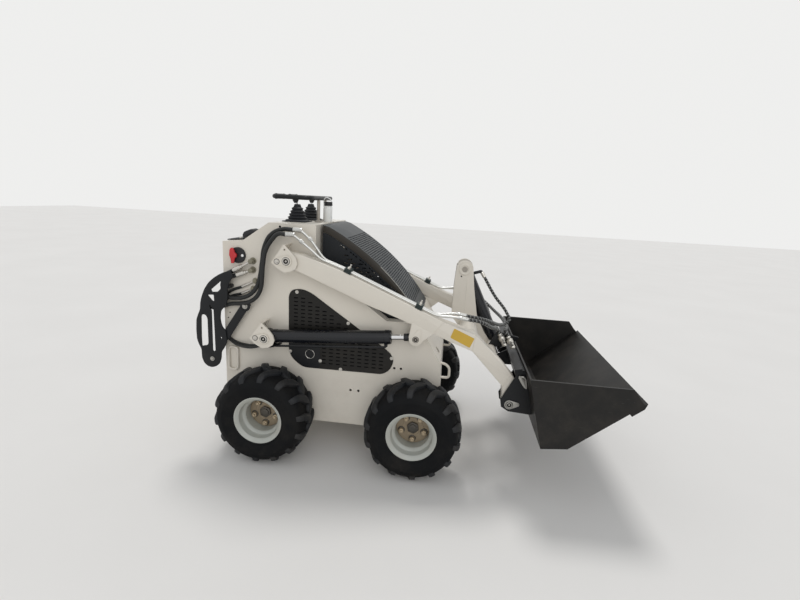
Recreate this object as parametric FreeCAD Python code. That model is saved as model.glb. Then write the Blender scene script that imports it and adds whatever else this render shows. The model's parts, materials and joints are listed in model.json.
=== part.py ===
import FreeCAD, Part
import math
import os
from FreeCAD import Vector

os.makedirs("parts", exist_ok=True)

# Compact skid steer loader. Millimetres, +X forward to the bucket, +Y to the
# machine's left, +Z up. The ground is Z = 0 and the origin lies under the
# middle of the whole machine. Side views are tables of (X, Z) points.

SIDES = (("right", -1), ("left", 1))

# Width of the body, which the wheels, arms, hood and cylinders are set out from
BODY_HALF_WIDTH = 295.0

# Wheels and axles
FRONT_AXLE_X = 76.0
WHEELBASE = 729.0
TYRE_OD = 460.0
TYRE_WIDTH = 216.0
TYRE_TO_BODY = 9.0
LUG_HEIGHT = 14.0
LUG_COUNT = 14
LUG_LEAN = 22.0
WHEEL_SIDES = 28
RIM_FLANGE_OD = 234.0
RIM_WIDTH = 190.0
RIM_WALL = 5.0
BEAD_SEAT_OD = 203.0
DISC_INSET = 15.0
DISC_THICK = 8.0
HUB_DISC_R = 80.0
HUB_DISC_THICK = 9.0
HUB_CAP_R = 30.0
HUB_CAP_LENGTH = 24.0
STUD_COUNT = 5
STUD_CIRCLE_R = 57.0
STUD_NUT_R = 12.0
STUD_NUT_LENGTH = 26.0
AXLE_R = 22.0
AXLE_HOUSING_R = 48.0
AXLE_LENGTH = 80.0

# Running clearances
RUN_FIT = 0.05
SEAT_GAP = 0.3
SIDE_GAP = 1.5

# Chassis
PLATE = 6.0
SHEET = 4.0
BODY_REAR_X = -909.0
BODY_FRONT_X = 190.0
BODY_BOTTOM_Z = 150.0
BODY_TOP_Z = 1145.0
CONSOLE_FRONT_X = -445.0
CONSOLE_REAR_X = -677.0
REAR_DECK_Z = 1045.0
REAR_DECK_FRONT_X = -806.0
NOSE_TOP_X = 67.0
NOSE_TOP_Z = 709.0
NOSE_FOLD_Z = 514.0
BAY_EDGE_Z = 960.0

# Rear guards
GUARD_OUT = 46.0

# Hood
HOOD_TO_SIDE = 65.0
HOOD_CHORDS = 12
HOOD_SHEET = 4.0
HOOD_START = (-431.0, 1143.0)
HOOD_REAR = (-401.0, 1136.0)
HOOD_MIDDLE = (-151.0, 971.0)
HOOD_TIP = (66.0, 722.0)
HOOD_BAND = 34.0
HOOD_HINGE = (-410.0, 1125.0)
HOOD_SLOT = (46.0, 16.0)
HOOD_SLOT_PITCH = 78.0
HINGE_SPOTS = (-150.0, 150.0)
HINGE_LEAF = 30.0
HINGE_PIN_R = 6.0
LEDGE_WIDTH = 53.0

# Lift arms and their pins, (X, Z)
ARM_PIVOT = (-554.0, 979.0)
BARREL_PIVOT = (-666.0, 597.0)
ROD_PIVOT = (60.0, 655.0)
COUPLER_PIVOT = (512.0, 386.0)
ARM_TO_BODY = 10.0
ARM_WIDTH = 70.0
ARM_BOSS_R = 40.0
ARM_TOE_R = 32.0
PIN_R = 17.0
PIN_HEAD_R = 24.0
PIN_HEAD = 7.0
EAR_PLATE = 8.0
EAR_GAP = 6.0
GUSSET_PLATE = 8.0
GUSSET_R = 32.0

# Lift cylinders
LIFT_TUBE_R = 32.0
LIFT_ROD_R = 13.0
LIFT_EYE_R = 27.0
LIFT_EYE_WIDTH = 44.0
LIFT_GLAND = 610.0

# Tilt post and cylinder
TILT_PIN = (269.0, 951.0)
TILT_ROD_PIN = (499.0, 486.0)
POST_GAP = 86.0
POST_PLATE = 10.0
POST_CREASE_X = 284.0
POST_BEND = 4.0
TILT_TUBE_R = 34.0
TILT_ROD_R = 16.0
TILT_EYE_R = 28.0
TILT_EYE_WIDTH = 50.0
TILT_GLAND = 440.0
TILT_PIN_R = 14.0
CROSS_TUBE = (307.0, 665.0)
CROSS_TUBE_R = 44.0
LOWER_TUBE = (430.0, 560.0)
LOWER_TUBE_R = 24.0

# Bucket
BUCKET_HALF_WIDTH = 546.0
BUCKET_SHEET = 7.0
BUCKET_SIDE = 10.0
BUCKET_BACK_TOP = (562.0, 577.0)
BUCKET_BACK_BOTTOM = (639.0, 267.0)
BUCKET_HEEL = (751.0, 279.0)
BUCKET_TIP = (1041.0, 521.0)
BUCKET_MOUTH_TOP = (980.0, 576.0)
BUCKET_MOUTH_STEP = (1015.0, 530.0)
EDGE_LENGTH = 82.0
EDGE_THICK = 14.0


# Hydraulic tubes and hoses
TUBE_R = 6.0
TUBE_SPACING = 24.0
HOSE_R = 10.2
TILT_HOSE_R = 8.0
CYLINDER_HOSE_R = 6.5
FERRULE_R = 9.5
NUT_R = 10.5
HOSE_GAP = 0.8
PORT_R = 13.0
CLAMP_LENGTH = 34.0
CLAMP_HEIGHT = 20.0
LINE_R = 5.0
LINE_DROP = 46.0
LINE_SPACING = 26.0

TRACK = 2 * (BODY_HALF_WIDTH + TYRE_TO_BODY) + TYRE_WIDTH
ARM_INNER_Y = BODY_HALF_WIDTH + ARM_TO_BODY
HOOD_HALF_WIDTH = BODY_HALF_WIDTH - HOOD_TO_SIDE


def save(name, shape):
    shape.exportStep("parts/%s.step" % name)


def fuse(shapes):
    shape = shapes[0]
    if len(shapes) > 1:
        shape = shape.fuse(shapes[1:])
    return shape.removeSplitter()


def group(shapes):
    return Part.makeCompound(shapes)


def block(x0, x1, y0, y1, z0, z1):
    return Part.makeBox(x1 - x0, y1 - y0, z1 - z0, Vector(x0, y0, z0))


def slab(points, y0, y1):
    """A plate with a side view of straight edges, between two Y planes."""
    low, high = min(y0, y1), max(y0, y1)
    corners = [Vector(x, low, z) for x, z in points]
    face = Part.Face(Part.makePolygon(corners + corners[:1]))
    return face.extrude(Vector(0, high - low, 0))


def rod_y(centre, radius, y0, y1):
    low, high = min(y0, y1), max(y0, y1)
    return Part.makeCylinder(radius, high - low, Vector(centre[0], low, centre[1]), Vector(0, 1, 0))


def prism_y(centre, radius, y0, y1, sides, turn=0.0):
    """A bar with flat sides along Y; its radius is taken to the corners."""
    turns = [math.radians(turn + 360.0 / sides * i) for i in range(sides)]
    return slab([(centre[0] + radius * math.cos(t), centre[1] + radius * math.sin(t)) for t in turns], y0, y1)


def turned_z(profile, centre, sides):
    """A piece turned about an upright axis, in flat facets; the profile's rows are (radius, Z)."""
    loops = []
    for r, z in profile:
        turns = [2 * math.pi * i / sides for i in range(sides)]
        loops.append([Vector(centre[0] + r * math.cos(t), centre[1] + r * math.sin(t), z) for t in turns])
    return shell_of(loops, False)


def shell_of(loops, closed):
    """A solid from loops of corners, in flat facets from each loop to the next."""
    faces = []
    if not closed:
        faces = [Part.Face(Part.makePolygon(loop + loop[:1])) for loop in (loops[0], loops[-1])]
    pairs = list(zip(loops, loops[1:])) + ([(loops[-1], loops[0])] if closed else [])
    for here, there in pairs:
        for k in range(len(here)):
            a, b = here[k], here[(k + 1) % len(here)]
            c, d = there[(k + 1) % len(there)], there[k]
            faces.append(Part.Face(Part.makePolygon([a, b, c, d, a])))
    return Part.Solid(Part.Shell(faces))


def rounded(points, bend, closed=False):
    """The corners of a line of straight runs joined by tangent arcs, each arc in chords of about 20 degrees."""
    count = len(points)
    line = [] if closed else [points[0]]
    for i in (range(count) if closed else range(1, count - 1)):
        before, here, after = points[i - 1], points[i], points[(i + 1) % count]
        u, w = (before - here), (after - here)
        shorter = min(u.Length, w.Length)
        u, w = u.normalize(), w.normalize()
        half_angle = math.acos(max(-1.0, min(1.0, u.dot(w)))) / 2
        turn = math.pi - 2 * half_angle
        if turn < 0.05:
            line.append(here)
            continue
        radius = bend or 0.45 * shorter * math.tan(half_angle)
        reach = radius / math.tan(half_angle)
        centre = here + (u + w).normalize() * (radius / math.sin(half_angle))
        first, last = here + u * reach - centre, here + w * reach - centre
        steps = max(1, int(math.degrees(turn) / 22.0 + 0.7))
        for k in range(steps + 1):
            share = k / steps
            spread = math.sin(turn)
            spoke = (first * (math.sin((1 - share) * turn) / spread) + last * (math.sin(share * turn) / spread))
            line.append(centre + spoke)
    return line if closed else line + [points[-1]]


def pipe(points, radius, bend=None, closed=False, sides=8):
    """A round bar, tube or hose of straight runs and tangent arcs, mitred from chord to chord.

    The points are (X, Y, Z). With no bend given, each arc is as large as its two runs allow."""
    line = rounded([Vector(*p) for p in points], bend, closed)
    count = len(line)
    ahead = [(line[(i + 1) % count] - line[i]).normalize() for i in range(count if closed else count - 1)]
    across = ahead[0].cross(Vector(0.123, 0.456, 0.871)).normalize()
    above = ahead[0].cross(across)
    # The flats keep the area of the round section
    corner = radius * math.sqrt(2 * math.pi / (sides * math.sin(2 * math.pi / sides)))
    loop = []
    for k in range(sides):
        t = 2 * math.pi * (k + 0.5) / sides
        loop.append(line[0] + across * (corner * math.cos(t)) + above * (corner * math.sin(t)))
    loops = []
    first_plane = (ahead[-1] + ahead[0]).normalize() if closed else ahead[0]
    loop = [p + ahead[0] * ((line[0] - p).dot(first_plane) / ahead[0].dot(first_plane)) for p in loop]
    loops.append(loop)
    for i in range(1, count):
        run = ahead[i - 1]
        plane = (run + ahead[i]).normalize() if i < len(ahead) else run
        loop = [p + run * ((line[i] - p).dot(plane) / run.dot(plane)) for p in loop]
        loops.append(loop)
    return shell_of(loops, closed)


def sleeve(start, end, distance, length, radius, sides=8):
    """A ferrule or nut on the line from start to end, at a distance from start."""
    start, end = Vector(*start), Vector(*end)
    along = (end - start).normalize()
    near, far = start + along * distance, start + along * (distance + length)
    return pipe((tuple(near), tuple(far)), radius, sides=sides)


def rod_between(start, end, radius):
    start, end = Vector(*start), Vector(*end)
    return Part.makeCylinder(radius, (end - start).Length, start, end - start)


def toward(start, end, distance):
    """The (X, Z) point at a distance from start on the line to end."""
    length = math.hypot(end[0] - start[0], end[1] - start[1])
    share = distance / length
    return (start[0] + share * (end[0] - start[0]), start[1] + share * (end[1] - start[1]))


def sheet(points, thickness, y0, y1, inward=1):
    """A bent sheet along a line of (X, Z) points, thickened to one side of it."""
    offset = []
    for i, (x, z) in enumerate(points):
        before = points[max(i - 1, 0)]
        after = points[min(i + 1, len(points) - 1)]
        normals = []
        for a, b in ((before, (x, z)), ((x, z), after)):
            length = math.hypot(b[0] - a[0], b[1] - a[1])
            if length > 0:
                normals.append((-(b[1] - a[1]) / length, (b[0] - a[0]) / length))
        nx = sum(n[0] for n in normals) / len(normals)
        nz = sum(n[1] for n in normals) / len(normals)
        scale = thickness * inward / (nx * nx + nz * nz)
        offset.append((x + nx * scale, z + nz * scale))
    return slab(list(points) + offset[::-1], y0, y1)


def ring_y(profile, centre):
    """A turned piece about a Y axis; the profile's rows are (radius, Y)."""
    corners = [Vector(centre[0] + r, y, centre[1]) for r, y in profile]
    face = Part.Face(Part.makePolygon(corners + corners[:1]))
    return face.revolve(Vector(centre[0], 0, centre[1]), Vector(0, 1, 0), 360)


AXLES = (("front", FRONT_AXLE_X), ("rear", FRONT_AXLE_X - WHEELBASE))
AXLE_Z = TYRE_OD / 2
WHEEL_Y = TRACK / 2
DISC_Y = WHEEL_Y - DISC_INSET


def wheel_ring(profile, sides):
    """A ring with flat facets about the Y axis; the profile's rows are (radius, Y)."""
    loops = []
    for i in range(sides):
        angle = math.radians(360.0 / sides * i)
        loops.append([Vector(r * math.cos(angle), y, r * math.sin(angle)) for r, y in profile])
    return shell_of(loops, True)


def tyre(x, sign):
    tread_r = TYRE_OD / 2 - LUG_HEIGHT
    half = TYRE_WIDTH / 2
    bead_r = BEAD_SEAT_OD / 2 + SEAT_GAP
    side = ((bead_r, 26), (tread_r - 50, 1), (tread_r, 30))
    profile = [(r, -half + y) for r, y in side] + [(r, half - y) for r, y in side[::-1]]
    body = wheel_ring(profile, WHEEL_SIDES)
    lugs = [lug_bar(side, i) for side in (-1, 1) for i in range(LUG_COUNT)]
    shape = body.fuse(lugs)
    shape.translate(Vector(x, sign * WHEEL_Y, AXLE_Z))
    return shape


def lug_bar(side, number):
    """One chevron lug, from near the middle of the tread out over a shoulder."""
    half = TYRE_WIDTH / 2
    top_r = TYRE_OD / 2
    pitch = 360.0 / LUG_COUNT
    start = pitch * (number + (0.25 if side > 0 else 0.75))
    # Rows of distance from the middle, turn, half width and the radii of the top and of the root
    rows = ((-5, 0.0, 2.6, top_r, top_r - 22), (half - 30, LUG_LEAN * 0.4, 3.2, top_r, top_r - 26),
            (half - 6, LUG_LEAN * 0.52, 3.4, top_r - 18, top_r - 46))
    loops = []
    for y, turn, wide, top, low in rows:
        loop = []
        for edge, radius in ((-wide, low), (-wide, top), (wide, top), (wide, low)):
            angle = math.radians(start + turn + edge)
            loop.append(Vector(radius * math.cos(angle), side * y, radius * math.sin(angle)))
        loops.append(loop)
    faces = [Part.Face(Part.makePolygon(loop + loop[:1])) for loop in (loops[0], loops[-1])]
    for here, there in zip(loops, loops[1:]):
        for k in range(4):
            a, b = here[k], here[(k + 1) % 4]
            c, d = there[(k + 1) % 4], there[k]
            for corners in ((a, b, c), (a, c, d)):
                faces.append(Part.Face(Part.makePolygon(list(corners) + [corners[0]])))
    return Part.Solid(Part.Shell(faces))


def rim(x, sign):
    half = RIM_WIDTH / 2
    flange_r = RIM_FLANGE_OD / 2
    seat_r = BEAD_SEAT_OD / 2
    drop_r = seat_r - 16
    outline = ((flange_r, -half), (flange_r, 5 - half), (seat_r, 12 - half), (seat_r, 40 - half),
               (drop_r, 54 - half), (drop_r, half - 54), (seat_r, half - 40), (seat_r, half - 12),
               (flange_r, half - 5), (flange_r, half), (flange_r - 4, half), (seat_r - RIM_WALL, half - 10),
               (seat_r - RIM_WALL, half - 42), (drop_r - RIM_WALL, half - 56),
               (drop_r - RIM_WALL, 56 - half), (seat_r - RIM_WALL, 42 - half),
               (seat_r - RIM_WALL, 10 - half), (flange_r - 4, -half))
    barrel = wheel_ring(outline, WHEEL_SIDES)
    barrel.translate(Vector(x, sign * WHEEL_Y, AXLE_Z))
    disc_out = sign * DISC_Y
    disc_in = sign * (DISC_Y - DISC_THICK)
    disc = prism_y((x, AXLE_Z), drop_r - RIM_WALL + 2, disc_in, disc_out, WHEEL_SIDES)
    return barrel.fuse(disc)


def hub(x, sign):
    centre = (x, AXLE_Z)
    face = sign * DISC_Y
    outer = face + sign * HUB_DISC_THICK
    pieces = [prism_y(centre, HUB_DISC_R, face - sign, outer, 20)]
    pieces.append(prism_y(centre, HUB_CAP_R, face, outer + sign * HUB_CAP_LENGTH, 6))
    for i in range(STUD_COUNT):
        turn = math.radians(90 + 360.0 / STUD_COUNT * i)
        at = (x + STUD_CIRCLE_R * math.cos(turn), AXLE_Z + STUD_CIRCLE_R * math.sin(turn))
        pieces.append(prism_y(at, STUD_NUT_R, outer - sign, outer + sign * STUD_NUT_LENGTH, 6))
    pieces.append(rod_y(centre, AXLE_R, sign * (DISC_Y - AXLE_LENGTH), face))
    return pieces


def wheels():
    for axle, x in AXLES:
        for side, sign in SIDES:
            save("tyre_%s_%s" % (axle, side), tyre(x, sign))
            save("wheel_%s_%s" % (axle, side), rim(x, sign).fuse(hub(x, sign)))


def axle_housings():
    housings = []
    for side, sign in SIDES:
        for _, x in AXLES:
            centre = (x, AXLE_Z)
            inner = sign * (BODY_HALF_WIDTH + SEAT_GAP)
            outer = sign * (DISC_Y - DISC_THICK - SIDE_GAP)
            housing = prism_y(centre, AXLE_HOUSING_R, inner, outer, 16)
            housings.append(housing.cut(rod_y(centre, AXLE_R + RUN_FIT, inner, outer)))
    save("axle_housings", group(housings))


EAR_INNER_Y = ARM_INNER_Y + ARM_WIDTH + EAR_GAP
EAR_OUTER_Y = EAR_INNER_Y + EAR_PLATE

# Side view of the body's side plate
SIDE_OUTLINE = (
    (BODY_REAR_X, 230), (BODY_REAR_X, REAR_DECK_Z - 4), (REAR_DECK_FRONT_X, REAR_DECK_Z + 6),
    (CONSOLE_REAR_X, BODY_TOP_Z - 2), (CONSOLE_FRONT_X, BODY_TOP_Z), (CONSOLE_FRONT_X, BAY_EDGE_Z),
    (-90, NOSE_TOP_Z), (NOSE_TOP_X, NOSE_TOP_Z), (BODY_FRONT_X - 6, NOSE_FOLD_Z), (BODY_FRONT_X, 418),
    (BODY_FRONT_X, 250), (110, BODY_BOTTOM_Z), (-830, BODY_BOTTOM_Z))

# Side views of the two ears on each side, which hold a pin outside the arm and the lift cylinder
UPPER_EAR = ((-627, 969), (-567, 1055), (-530, 1019), (-510, 995), (-503, 970), (-512, 945), (-535, 932),
             (-565, 925), (-600, 945))
LOWER_EAR = ((-740, 593), (-678, 675), (-642, 641), (-622, 617), (-615, 592), (-624, 568), (-646, 554),
             (-677, 548), (-712, 567))


# Small hole and lock bolt of each ear
EAR_HOLES = ((-563, 1031), (-676, 650))
EAR_HOLE_R = 5.0

# Pairs of threaded holes in each side plate
SIDE_HOLES = ((-41, 473), (-8, 473), (-256, 335), (-216, 335))
SIDE_HOLE_R = 6.5


def side_plates():
    for side, sign in SIDES:
        inner = sign * (BODY_HALF_WIDTH - PLATE)
        outer = sign * BODY_HALF_WIDTH
        plate = slab(SIDE_OUTLINE, inner, outer)
        pieces = [plate]
        for ear, pin in ((UPPER_EAR, ARM_PIVOT), (LOWER_EAR, BARREL_PIVOT)):
            pieces.append(slab(ear, sign * EAR_INNER_Y, sign * EAR_OUTER_Y))
            pieces.append(sheet((ear[0], ear[1]), EAR_PLATE - 2, outer - sign, sign * EAR_OUTER_Y, -1))
        ledge = sheet(((CONSOLE_FRONT_X + 4, BAY_EDGE_Z - 3), (-90, NOSE_TOP_Z), (NOSE_TOP_X - 10, NOSE_TOP_Z)),
                      SHEET, inner + sign, sign * (BODY_HALF_WIDTH - PLATE - LEDGE_WIDTH), -1)
        pieces.append(ledge)
        body = fuse(pieces)
        for pin in (ARM_PIVOT, BARREL_PIVOT):
            body = body.cut(rod_y(pin, PIN_R, inner, sign * EAR_OUTER_Y))
        for _, x in AXLES:
            body = body.cut(rod_y((x, AXLE_Z), AXLE_R + 10, inner, outer))
        for hole in SIDE_HOLES:
            body = body.cut(rod_y(hole, SIDE_HOLE_R, inner, outer))
        for hole in EAR_HOLES:
            body = body.cut(prism_y(hole, EAR_HOLE_R, sign * EAR_INNER_Y, sign * EAR_OUTER_Y, 8))
        save("side_plate_%s" % side, body)


def pivot_pins():
    """The pins that the chassis holds: one on each arm and one on each lift cylinder's base."""
    pins = []
    for side, sign in SIDES:
        for pin in (ARM_PIVOT, BARREL_PIVOT):
            start = sign * (BODY_HALF_WIDTH - PLATE)
            outer = sign * (EAR_OUTER_Y + SEAT_GAP)
            shaft = rod_y(pin, PIN_R - RUN_FIT, start, outer)
            lock = slab(((pin[0] - 52, pin[1] - 16), (pin[0], pin[1] - 22), (pin[0] + 20, pin[1] - 8),
                         (pin[0] + 20, pin[1] + 10), (pin[0], pin[1] + 22), (pin[0] - 52, pin[1] + 10)),
                        outer, outer + sign * PIN_HEAD)
            pins.append(fuse([shaft, lock]))
    save("pivot_pins", group(pins))


def body_shell():
    inside = BODY_HALF_WIDTH - PLATE - SEAT_GAP
    front = sheet(((NOSE_TOP_X, NOSE_TOP_Z), (BODY_FRONT_X - 6, NOSE_FOLD_Z), (BODY_FRONT_X, 418),
                   (BODY_FRONT_X, 250), (110, BODY_BOTTOM_Z), (-780, BODY_BOTTOM_Z)), PLATE, -inside, inside, -1)
    for sign in (-1, 1):
        front = front.cut(block(140, 190, sign * 178 - 17, sign * 178 + 17, 530, 562))
    save("nose_plate", front)
    rear = sheet(((-781, BODY_BOTTOM_Z), (-830, BODY_BOTTOM_Z), (BODY_REAR_X, 230), (BODY_REAR_X, REAR_DECK_Z - 10)),
                 PLATE, -inside, inside, -1)
    save("rear_panel", rear)
    top = sheet(((BODY_REAR_X, REAR_DECK_Z - 4), (REAR_DECK_FRONT_X, REAR_DECK_Z + 6), (CONSOLE_REAR_X, BODY_TOP_Z - 2),
                 (CONSOLE_FRONT_X, BODY_TOP_Z), (CONSOLE_FRONT_X, 640)), SHEET, -inside, inside, -1)
    pieces = [top]
    x, z = HOOD_HINGE
    bracket = ((x - 7, z), (x + 7, z), (x + 7, z - 55), (CONSOLE_FRONT_X - 1, z - 55), (CONSOLE_FRONT_X - 1, z - 38),
               (x - 7, z - 38))
    for y in HINGE_SPOTS:
        for sign in (-1, 1):
            near = y + sign * (HINGE_LEAF / 2 + 1)
            pieces.append(slab(bracket, near, near + sign * 8))
            pieces.append(rod_y(HOOD_HINGE, 8, near, near + sign * 8))
        pieces.append(rod_y(HOOD_HINGE, HINGE_PIN_R - RUN_FIT, y - HINGE_LEAF / 2 - 2, y + HINGE_LEAF / 2 + 2))
    save("console", fuse(pieces))


def engine():
    floor = BODY_BOTTOM_Z + PLATE + SEAT_GAP
    half = BODY_HALF_WIDTH - 105
    feet = [block(x - 24, x + 24, sign * (half - 40) - 24, sign * (half - 40) + 24, floor, 302)
            for x in (-340, -80) for sign in (-1, 1)]
    save("engine_block", fuse([block(-400, -20, -half, half, 300, 740)] + feet))


# Side view of the slotted plate that covers the engine bay's side
VENT_BOTTOM = 435
VENT_TOP = 836
SLOT_LENGTH = 46.0
SLOT_HEIGHT = 14.0
SLOT_PITCH_X = 76.0
SLOT_PITCH_Z = 36.0
VENT = ((-576, 800), (-560, 828), (-512, 836), (-465, 820), (-208, 648), (-108, 582), (-62, 548), (-45, 514),
        (-60, 465), (-97, 437), (-505, 435), (-560, 480), (-576, 520))


def inside_outline(x, z, outline, margin):
    """True where a point lies in a convex outline, at least a margin from its edges."""
    turns = []
    for a, b in zip(outline, outline[1:] + outline[:1]):
        length = math.hypot(b[0] - a[0], b[1] - a[1])
        turns.append(((b[0] - a[0]) * (z - a[1]) - (b[1] - a[1]) * (x - a[0])) / length)
    return all(t < -margin for t in turns) or all(t > margin for t in turns)


def vent_panels():
    panels = []
    slots = []
    rows = int((VENT_TOP - VENT_BOTTOM) / SLOT_PITCH_Z)
    for row in range(rows):
        z = VENT_BOTTOM + 30 + row * SLOT_PITCH_Z
        for column in range(12):
            x = -560 + (column + 0.5 * (row % 2)) * SLOT_PITCH_X
            ends = ((x, z), (x + SLOT_LENGTH, z + SLOT_HEIGHT))
            if all(inside_outline(a, b, VENT, 14) for a, b in ends + ((ends[1][0], z), (x, ends[1][1]))):
                slots.append((x, z))
    for side, sign in SIDES:
        inner = sign * (BODY_HALF_WIDTH + SEAT_GAP)
        outer = inner + sign * 3
        panel = slab(VENT, inner, outer)
        holes = [block(x, x + SLOT_LENGTH, min(inner, outer) - 1, max(inner, outer) + 1, z, z + SLOT_HEIGHT)
                 for x, z in slots]
        panels.append(panel.cut(group(holes)))
    save("vent_panels", group(panels))


# Side view of the plate that shields the hoses behind the machine
GUARD = ((-852, 903), (-890, 895), (-956, 845), (-1016, 737), (-1038, 649), (-1041, 537), (-1030, 455), (-1005, 415),
         (-971, 401), (-938, 415), (-920, 452), (-887, 534), (-892, 593), (-917, 677), (-891, 717), (-850, 800),
         (-832, 880))


# Side views of the openings in that plate: the grip slot and the small ones
GUARD_OPENINGS = (
    ((-1011, 512), (-1011, 664), (-1001, 679), (-981, 679), (-972, 664), (-977, 520), (-986, 506), (-1002, 504)),
    ((-902, 851), (-952, 799), (-926, 796), (-903, 821)), ((-972, 777), (-940, 780), (-943, 749)))


def rear_guards():
    guards = []
    for side, sign in SIDES:
        outer = sign * (BODY_HALF_WIDTH + GUARD_OUT)
        plate = slab(GUARD, outer, outer - sign * PLATE)
        seat = sign * (BODY_HALF_WIDTH + SEAT_GAP)
        strut = slab(((-884, 584), (-866, 566), (-772, 728), (-790, 742)), outer - sign * PLATE, outer - sign * 12)
        lower = slab(((-905, 600), (-884, 584), (-866, 566), (-895, 540)), outer - sign * PLATE, outer - sign * 12)
        foot = prism_y((-784, 734), 13, seat, outer - sign * 7, 8)
        head = prism_y((-866, 826), 10, seat, outer - sign * 5, 8)
        guard = fuse([plate, lower, strut, foot, head])
        for opening in GUARD_OPENINGS:
            guard = guard.cut(slab(opening, outer + sign, outer - sign * (PLATE + 1)))
        guards.append(guard)
    save("rear_guards", group(guards))


# Centre lines of the hoses behind the guards, (X, Z, distance out from the body's side): the two
# big ones loop from their ports up to the arm's tubes, the two thin ones go to the lift cylinder
BIG_HOSES = (
    ((-544.8, 1119, 33), (-592, 1119, 34), (-648, 1092, 36), (-690, 1036, 38), (-707, 957, 41), (-716, 880, 43),
     (-742, 822, 44), (-786, 796, 38), (-834, 778, 25.7), (-874, 774, 25.7), (-893, 800, 25.7),
     (-886, 846, 25.7), (-858, 872, 25.7), (-829, 884, 25.7)),
    ((-571.8, 1098, 57), (-606, 1098, 56), (-641, 1066, 52), (-670, 1018, 47), (-683, 953, 44), (-691, 873, 44),
     (-718, 806, 44), (-778, 768, 42), (-840, 748, 25.7), (-897, 722, 25.7), (-952, 708, 25.7), (-990, 742, 25.7),
     (-985, 800, 25.7), (-946, 848, 25.7), (-893, 879, 25.7), (-846, 905, 25.7)))
THIN_HOSES = (
    ((-812, 824, 7.6), (-868, 797, 7.6), (-915, 752, 7.6), (-938, 690, 7.6), (-930, 625, 12), (-895, 580, 20),
     (-845, 545, 28), (-775, 531, 46)),
    ((-814, 790, 7.6), (-858, 765, 7.6), (-895, 722, 7.6), (-912, 670, 7.6), (-905, 618, 10), (-872, 585, 16),
     (-836, 563, 24), (-772, 550, 30)))
BIG_PORTS = ((-757, 911), (-756, 955))
THIN_PORTS = ((-745, 858), (-756, 818))


def out_from_side(points, sign):
    return [(x, sign * (BODY_HALF_WIDTH + out), z) for x, z, out in points]


def barrel_point(along, drop, y):
    """A point beside a lift cylinder: its distance from the base pin, and how far under the axis."""
    x, z = toward(BARREL_PIVOT, ROD_PIVOT, along)
    ux, uz = [(b - a) / along for a, b in zip(BARREL_PIVOT, (x, z))]
    return (x + uz * drop, y, z - ux * drop)


def hoses():
    tubes, fittings = [], []
    for side, sign in SIDES:
        seat = sign * (BODY_HALF_WIDTH + SEAT_GAP)
        for points, port in zip(BIG_HOSES, BIG_PORTS):
            line = out_from_side(points, sign)
            tubes.append(pipe(line, HOSE_R))
            end = line[-1]
            elbow = (port[0], end[1], port[1])
            fittings.append(prism_y(port, PORT_R, seat, end[1] + sign * 9, 6).fuse(
                [sleeve(elbow, end, 0, math.dist(elbow, end) - HOSE_GAP, TUBE_R, 6),
                 sleeve(end, elbow, HOSE_GAP, 40, HOSE_R + 1.5)]))
        middle = sign * (ARM_INNER_Y + ARM_WIDTH / 2)
        for points, port, offset in zip(THIN_HOSES, THIN_PORTS, (1, -1)):
            y = middle + sign * offset * LINE_SPACING / 2
            line = out_from_side(points, sign) + [barrel_point(-38, LINE_DROP, y),
                                                  barrel_point(2 - SEAT_GAP - 0.1, LINE_DROP, y)]
            tubes.append(pipe(line, CYLINDER_HOSE_R))
            start = line[0]
            elbow = (port[0], start[1], port[1])
            fittings.append(prism_y(port, PORT_R - 2, seat, start[1] + sign * 8, 6).fuse(
                [sleeve(elbow, start, 0, math.dist(elbow, start) - HOSE_GAP, TUBE_R - 1, 6),
                 sleeve(start, elbow, HOSE_GAP, 30, CYLINDER_HOSE_R + 0.4)]))
    save("lift_hoses", group(tubes))
    save("hose_fittings", group(fittings))


def tie_downs():
    loops = []
    for sign in (-1, 1):
        y = sign * (BODY_HALF_WIDTH + 6.6 + SEAT_GAP)
        ring = pipe(((-890, y, 510), (-843, y, 510), (-843, y, 390), (-890, y, 390)), 6, 20, True, 6)
        loops.append(ring)
        y = sign * (BODY_HALF_WIDTH - 35)
        hoop = pipe(((172, y, 527), (239, y, 480), (180, y, 408)), 6, 16, sides=6)
        hull = slab(((0, 720), (NOSE_TOP_X + SEAT_GAP, 720), (BODY_FRONT_X - 6 + SEAT_GAP, NOSE_FOLD_Z),
                     (BODY_FRONT_X + SEAT_GAP, 418), (BODY_FRONT_X + SEAT_GAP, 300), (0, 300)), y - 20, y + 20)
        loops.append(hoop.cut(hull))
    save("tie_down_loops", group(loops))


# Rubber boot of a control lever, (radius, height above the console's top)
BOOT = ((44, 0), (44, 8), (36, 12), (38, 22), (30, 26), (32, 36), (25, 40), (27, 50), (20, 54), (22, 64), (15, 70),
        (13, 84))
LEVER_SPOTS = (-110.0, 110.0)
BAR_Z = 1266.0


def controls():
    top = BODY_TOP_Z + SEAT_GAP
    loop = pipe(((-697, -200, BAR_Z), (-697, 200, BAR_Z), (-505, 200, BAR_Z), (-505, -200, BAR_Z)), 11, 45, True)
    posts = [pipe(((-505, y, top), (-505, y, BAR_Z)), 8.5, sides=6) for y in (-60, 60)]
    save("handlebar", loop.fuse(posts))
    levers = []
    for y in LEVER_SPOTS:
        boot = turned_z([(r, top - 0.7 + z) for r, z in BOOT], (-600, y), 12)
        stick = turned_z([(7, top + 60), (7, top + 96), (14, top + 98), (16, top + 108), (12, top + 119)],
                         (-600, y), 8)
        levers.append(boot.fuse(stick))
    save("control_levers", group(levers))
    tube = turned_z(((21, top), (21, top + 80), (17, top + 88)), (-470, 0), 12)
    save("manual_tube", tube)
    outer = -(BODY_HALF_WIDTH + SEAT_GAP)
    switch = fuse([prism_y((-830, 978), 38, outer, outer - 9, 16), block(-858, -818, outer - 24, outer - 8, 970, 986)])
    save("battery_switch", switch)


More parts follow.
